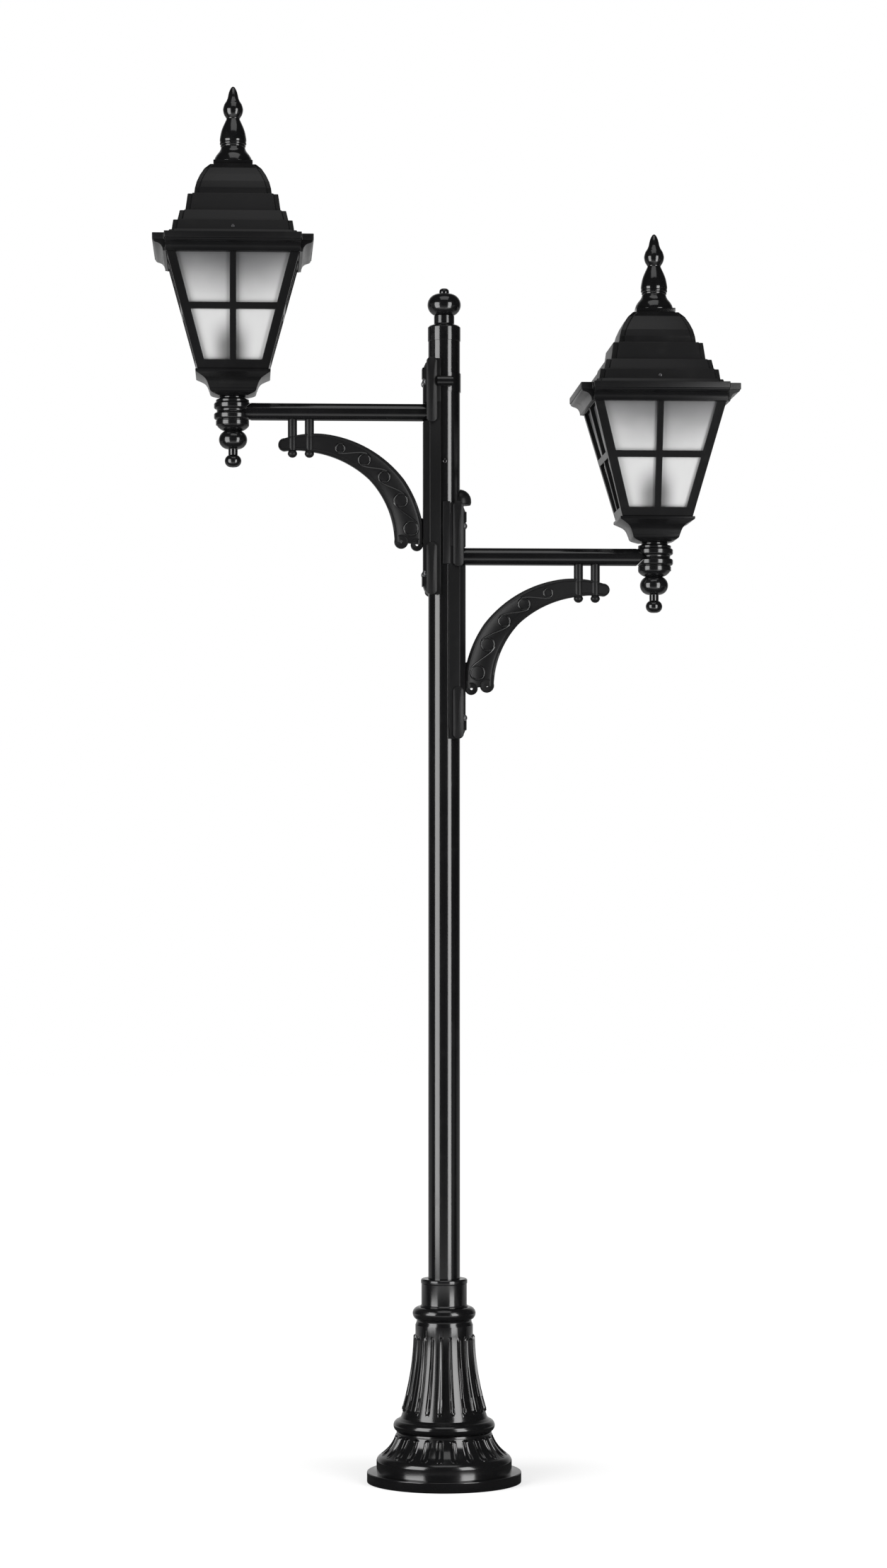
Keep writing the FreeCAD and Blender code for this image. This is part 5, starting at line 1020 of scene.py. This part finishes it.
class LAMP_OT_frame_finishes(bpy.types.Operator):
    """Give the frame's own nodes that stay in view their finishes."""

    bl_idname = "lamp_post.frame_finishes"
    bl_label = "Frame finishes"

    def execute(self, context):
        coats = finishes(context)
        slots = {part["node"]: part["material_slot"] for part in frame["record"]["subparts"]}
        for node, thing in frame["nodes"].items():
            thing.data.materials.clear()
            thing.data.materials.append(coats[slots[node]].material)
        return {"FINISHED"}


def paper_floor():
    """White paper: its diffuse part takes the soft shadow near the post, and gives way to an even white seen
    by the camera further out. Mirrored in the coats it is pale behind the post and 2 m in front of it, and
    dark round its foot and beyond the paper's front edge."""
    finish = Finish("white_paper_floor")
    grain = finish.noise(30.0, 2.0)
    ahead = finish.part(finish.place(), 1)
    pale_strip = ahead.between(-6.5, -4.5) * (1.0 - ahead.between(-2.2, -1.0))
    mirrored = finish.ray("Is Glossy Ray") * (1.0 - ahead.between(0.2, 1.6)) * (1.0 - pale_strip)
    pale = finish.blend(grain, grey(0.90), grey(0.93))
    paper = finish.node("ShaderNodeBsdfDiffuse", None, {"Color": finish.blend(mirrored, pale, grey(0.05))})
    even = finish.node("ShaderNodeEmission", None, {"Color": grey(1.0), "Strength": 1.06})
    out = finish.node("ShaderNodeVectorMath", {"operation": "LENGTH"}, {0: finish.place()}, output=1)
    share = finish.ray("Is Camera Ray") * (out.between(0.15, 0.55) * 0.45 + 0.55)
    return finish.close(finish.node("ShaderNodeMixShader", None, {0: share, 1: paper, 2: even}))


def soft_light(name, place, size, power, aim):
    """A soft area light that looks at the post's axis at the height aim."""
    lamp = bpy.data.lights.new(name, "AREA")
    lamp.shape, lamp.size, lamp.size_y, lamp.energy = "RECTANGLE", size[0], size[1], power
    holder = bpy.data.objects.new(name, lamp)
    holder.location = place
    way = np.array([0.0, 0.0, aim]) - np.array(place)
    flat = math.hypot(way[0], way[1])
    holder.rotation_euler = (math.atan2(flat, -way[2]), 0.0, math.atan2(-way[0], way[1]))
    bpy.context.scene.collection.objects.link(holder)


def studio_world():
    """White to the camera, and a quiet studio grey to everything else with a pale wall behind the post."""
    finish = Finish("white_studio", world=True)
    sky = finish.node("ShaderNodeTexCoord", output="Generated")
    behind = finish.part(sky, 1).between(0.55, 0.98)
    glossy = finish.ray("Is Glossy Ray")
    seen = finish.ray("Is Camera Ray").larger(finish.ray("Is Transmission Ray"))
    share = seen.larger(glossy * behind * 0.6)
    around = finish.blend(glossy, grey(0.30), (0.035, 0.035, 0.036, 1.0))
    colour = finish.blend(share, around, grey(1.0))
    return finish.close(finish.node("ShaderNodeBackground", None, {"Color": colour, "Strength": 1.0}))


class LAMP_OT_stage(bpy.types.Operator):
    """Lay the pale floor, hang the lights and set the camera where the photographer stood."""

    bl_idname = "lamp_post.stage"
    bl_label = "Stage"

    def execute(self, context):
        looks, scene = context.scene.lamp_post_looks, context.scene
        reach, level = 14.0, -0.0002
        side = np.linspace(-reach, reach, 9)
        x, y = np.meshgrid(side, side, indexing="ij")
        points, faces = surface(np.stack([x, y, np.full_like(x, level)], axis=-1), round_columns=False)
        mesh = bpy.data.meshes.new("studio_floor")
        mesh.from_pydata(points.tolist(), [], [face[::-1] for face in faces])
        floor = bpy.data.objects.new("studio_floor", mesh)
        scene.collection.objects.link(floor)
        mesh.materials.append(paper_floor())
        soft_light("left_box", (-2.43, -1.77, 1.57), (1.86, 2.9), looks.left_light, 1.57)
        soft_light("right_box", (1.81, -2.39, 1.52), (1.22, 3.0), looks.right_light, 1.52)
        soft_light("overhead", (0.0, -1.7, 5.4), (3.0, 2.6), looks.top_light, 1.0)
        scene.world = studio_world()
        turn, away, eye = math.radians(3.0), 7.32, 1.168
        lens = bpy.data.cameras.new("photographer")
        lens.lens, lens.sensor_width, lens.clip_end = 88.8, 36.0, 60.0
        lens.shift_x, lens.shift_y = -0.0004, 0.0511
        lens.dof.use_dof = False
        camera = bpy.data.objects.new("photographer", lens)
        camera.location = (-away * math.sin(turn), -away * math.cos(turn), eye)
        camera.rotation_euler = (math.pi / 2.0, 0.0, -turn)
        scene.collection.objects.link(camera)
        scene.camera = camera
        scene.view_settings.view_transform = "Standard"
        return {"FINISHED"}


OPERATORS = (LAMP_OT_frame_finishes, LAMP_OT_pedestal, LAMP_OT_pole, LAMP_OT_brackets, LAMP_OT_lantern_ends,
             LAMP_OT_lantern_bodies, LAMP_OT_roofs, LAMP_OT_stage)


class LAMP_PT_panel(bpy.types.Panel):
    """Lists the steps that dress the lamp post."""

    bl_label = "Lamp post"
    bl_space_type = "VIEW_3D"
    bl_region_type = "UI"
    bl_category = "Lamp post"

    def draw(self, context):
        for group in (context.scene.lamp_post_sizes, context.scene.lamp_post_looks):
            for name in group.__annotations__:
                self.layout.prop(group, name)
        for step in OPERATORS:
            self.layout.operator(step.bl_idname)


CLASSES = (LampPostSizes, LampPostLooks, *OPERATORS, LAMP_PT_panel)


def register():
    for kind in CLASSES:
        bpy.utils.register_class(kind)
    bpy.types.Scene.lamp_post_sizes = bpy.props.PointerProperty(type=LampPostSizes)
    bpy.types.Scene.lamp_post_looks = bpy.props.PointerProperty(type=LampPostLooks)


def unregister():
    del bpy.types.Scene.lamp_post_looks
    del bpy.types.Scene.lamp_post_sizes
    for kind in reversed(CLASSES):
        bpy.utils.unregister_class(kind)


def main():
    register()
    for step in OPERATORS:
        getattr(bpy.ops.lamp_post, step.bl_idname.split(".")[1])()


if __name__ == "__main__":
    main()
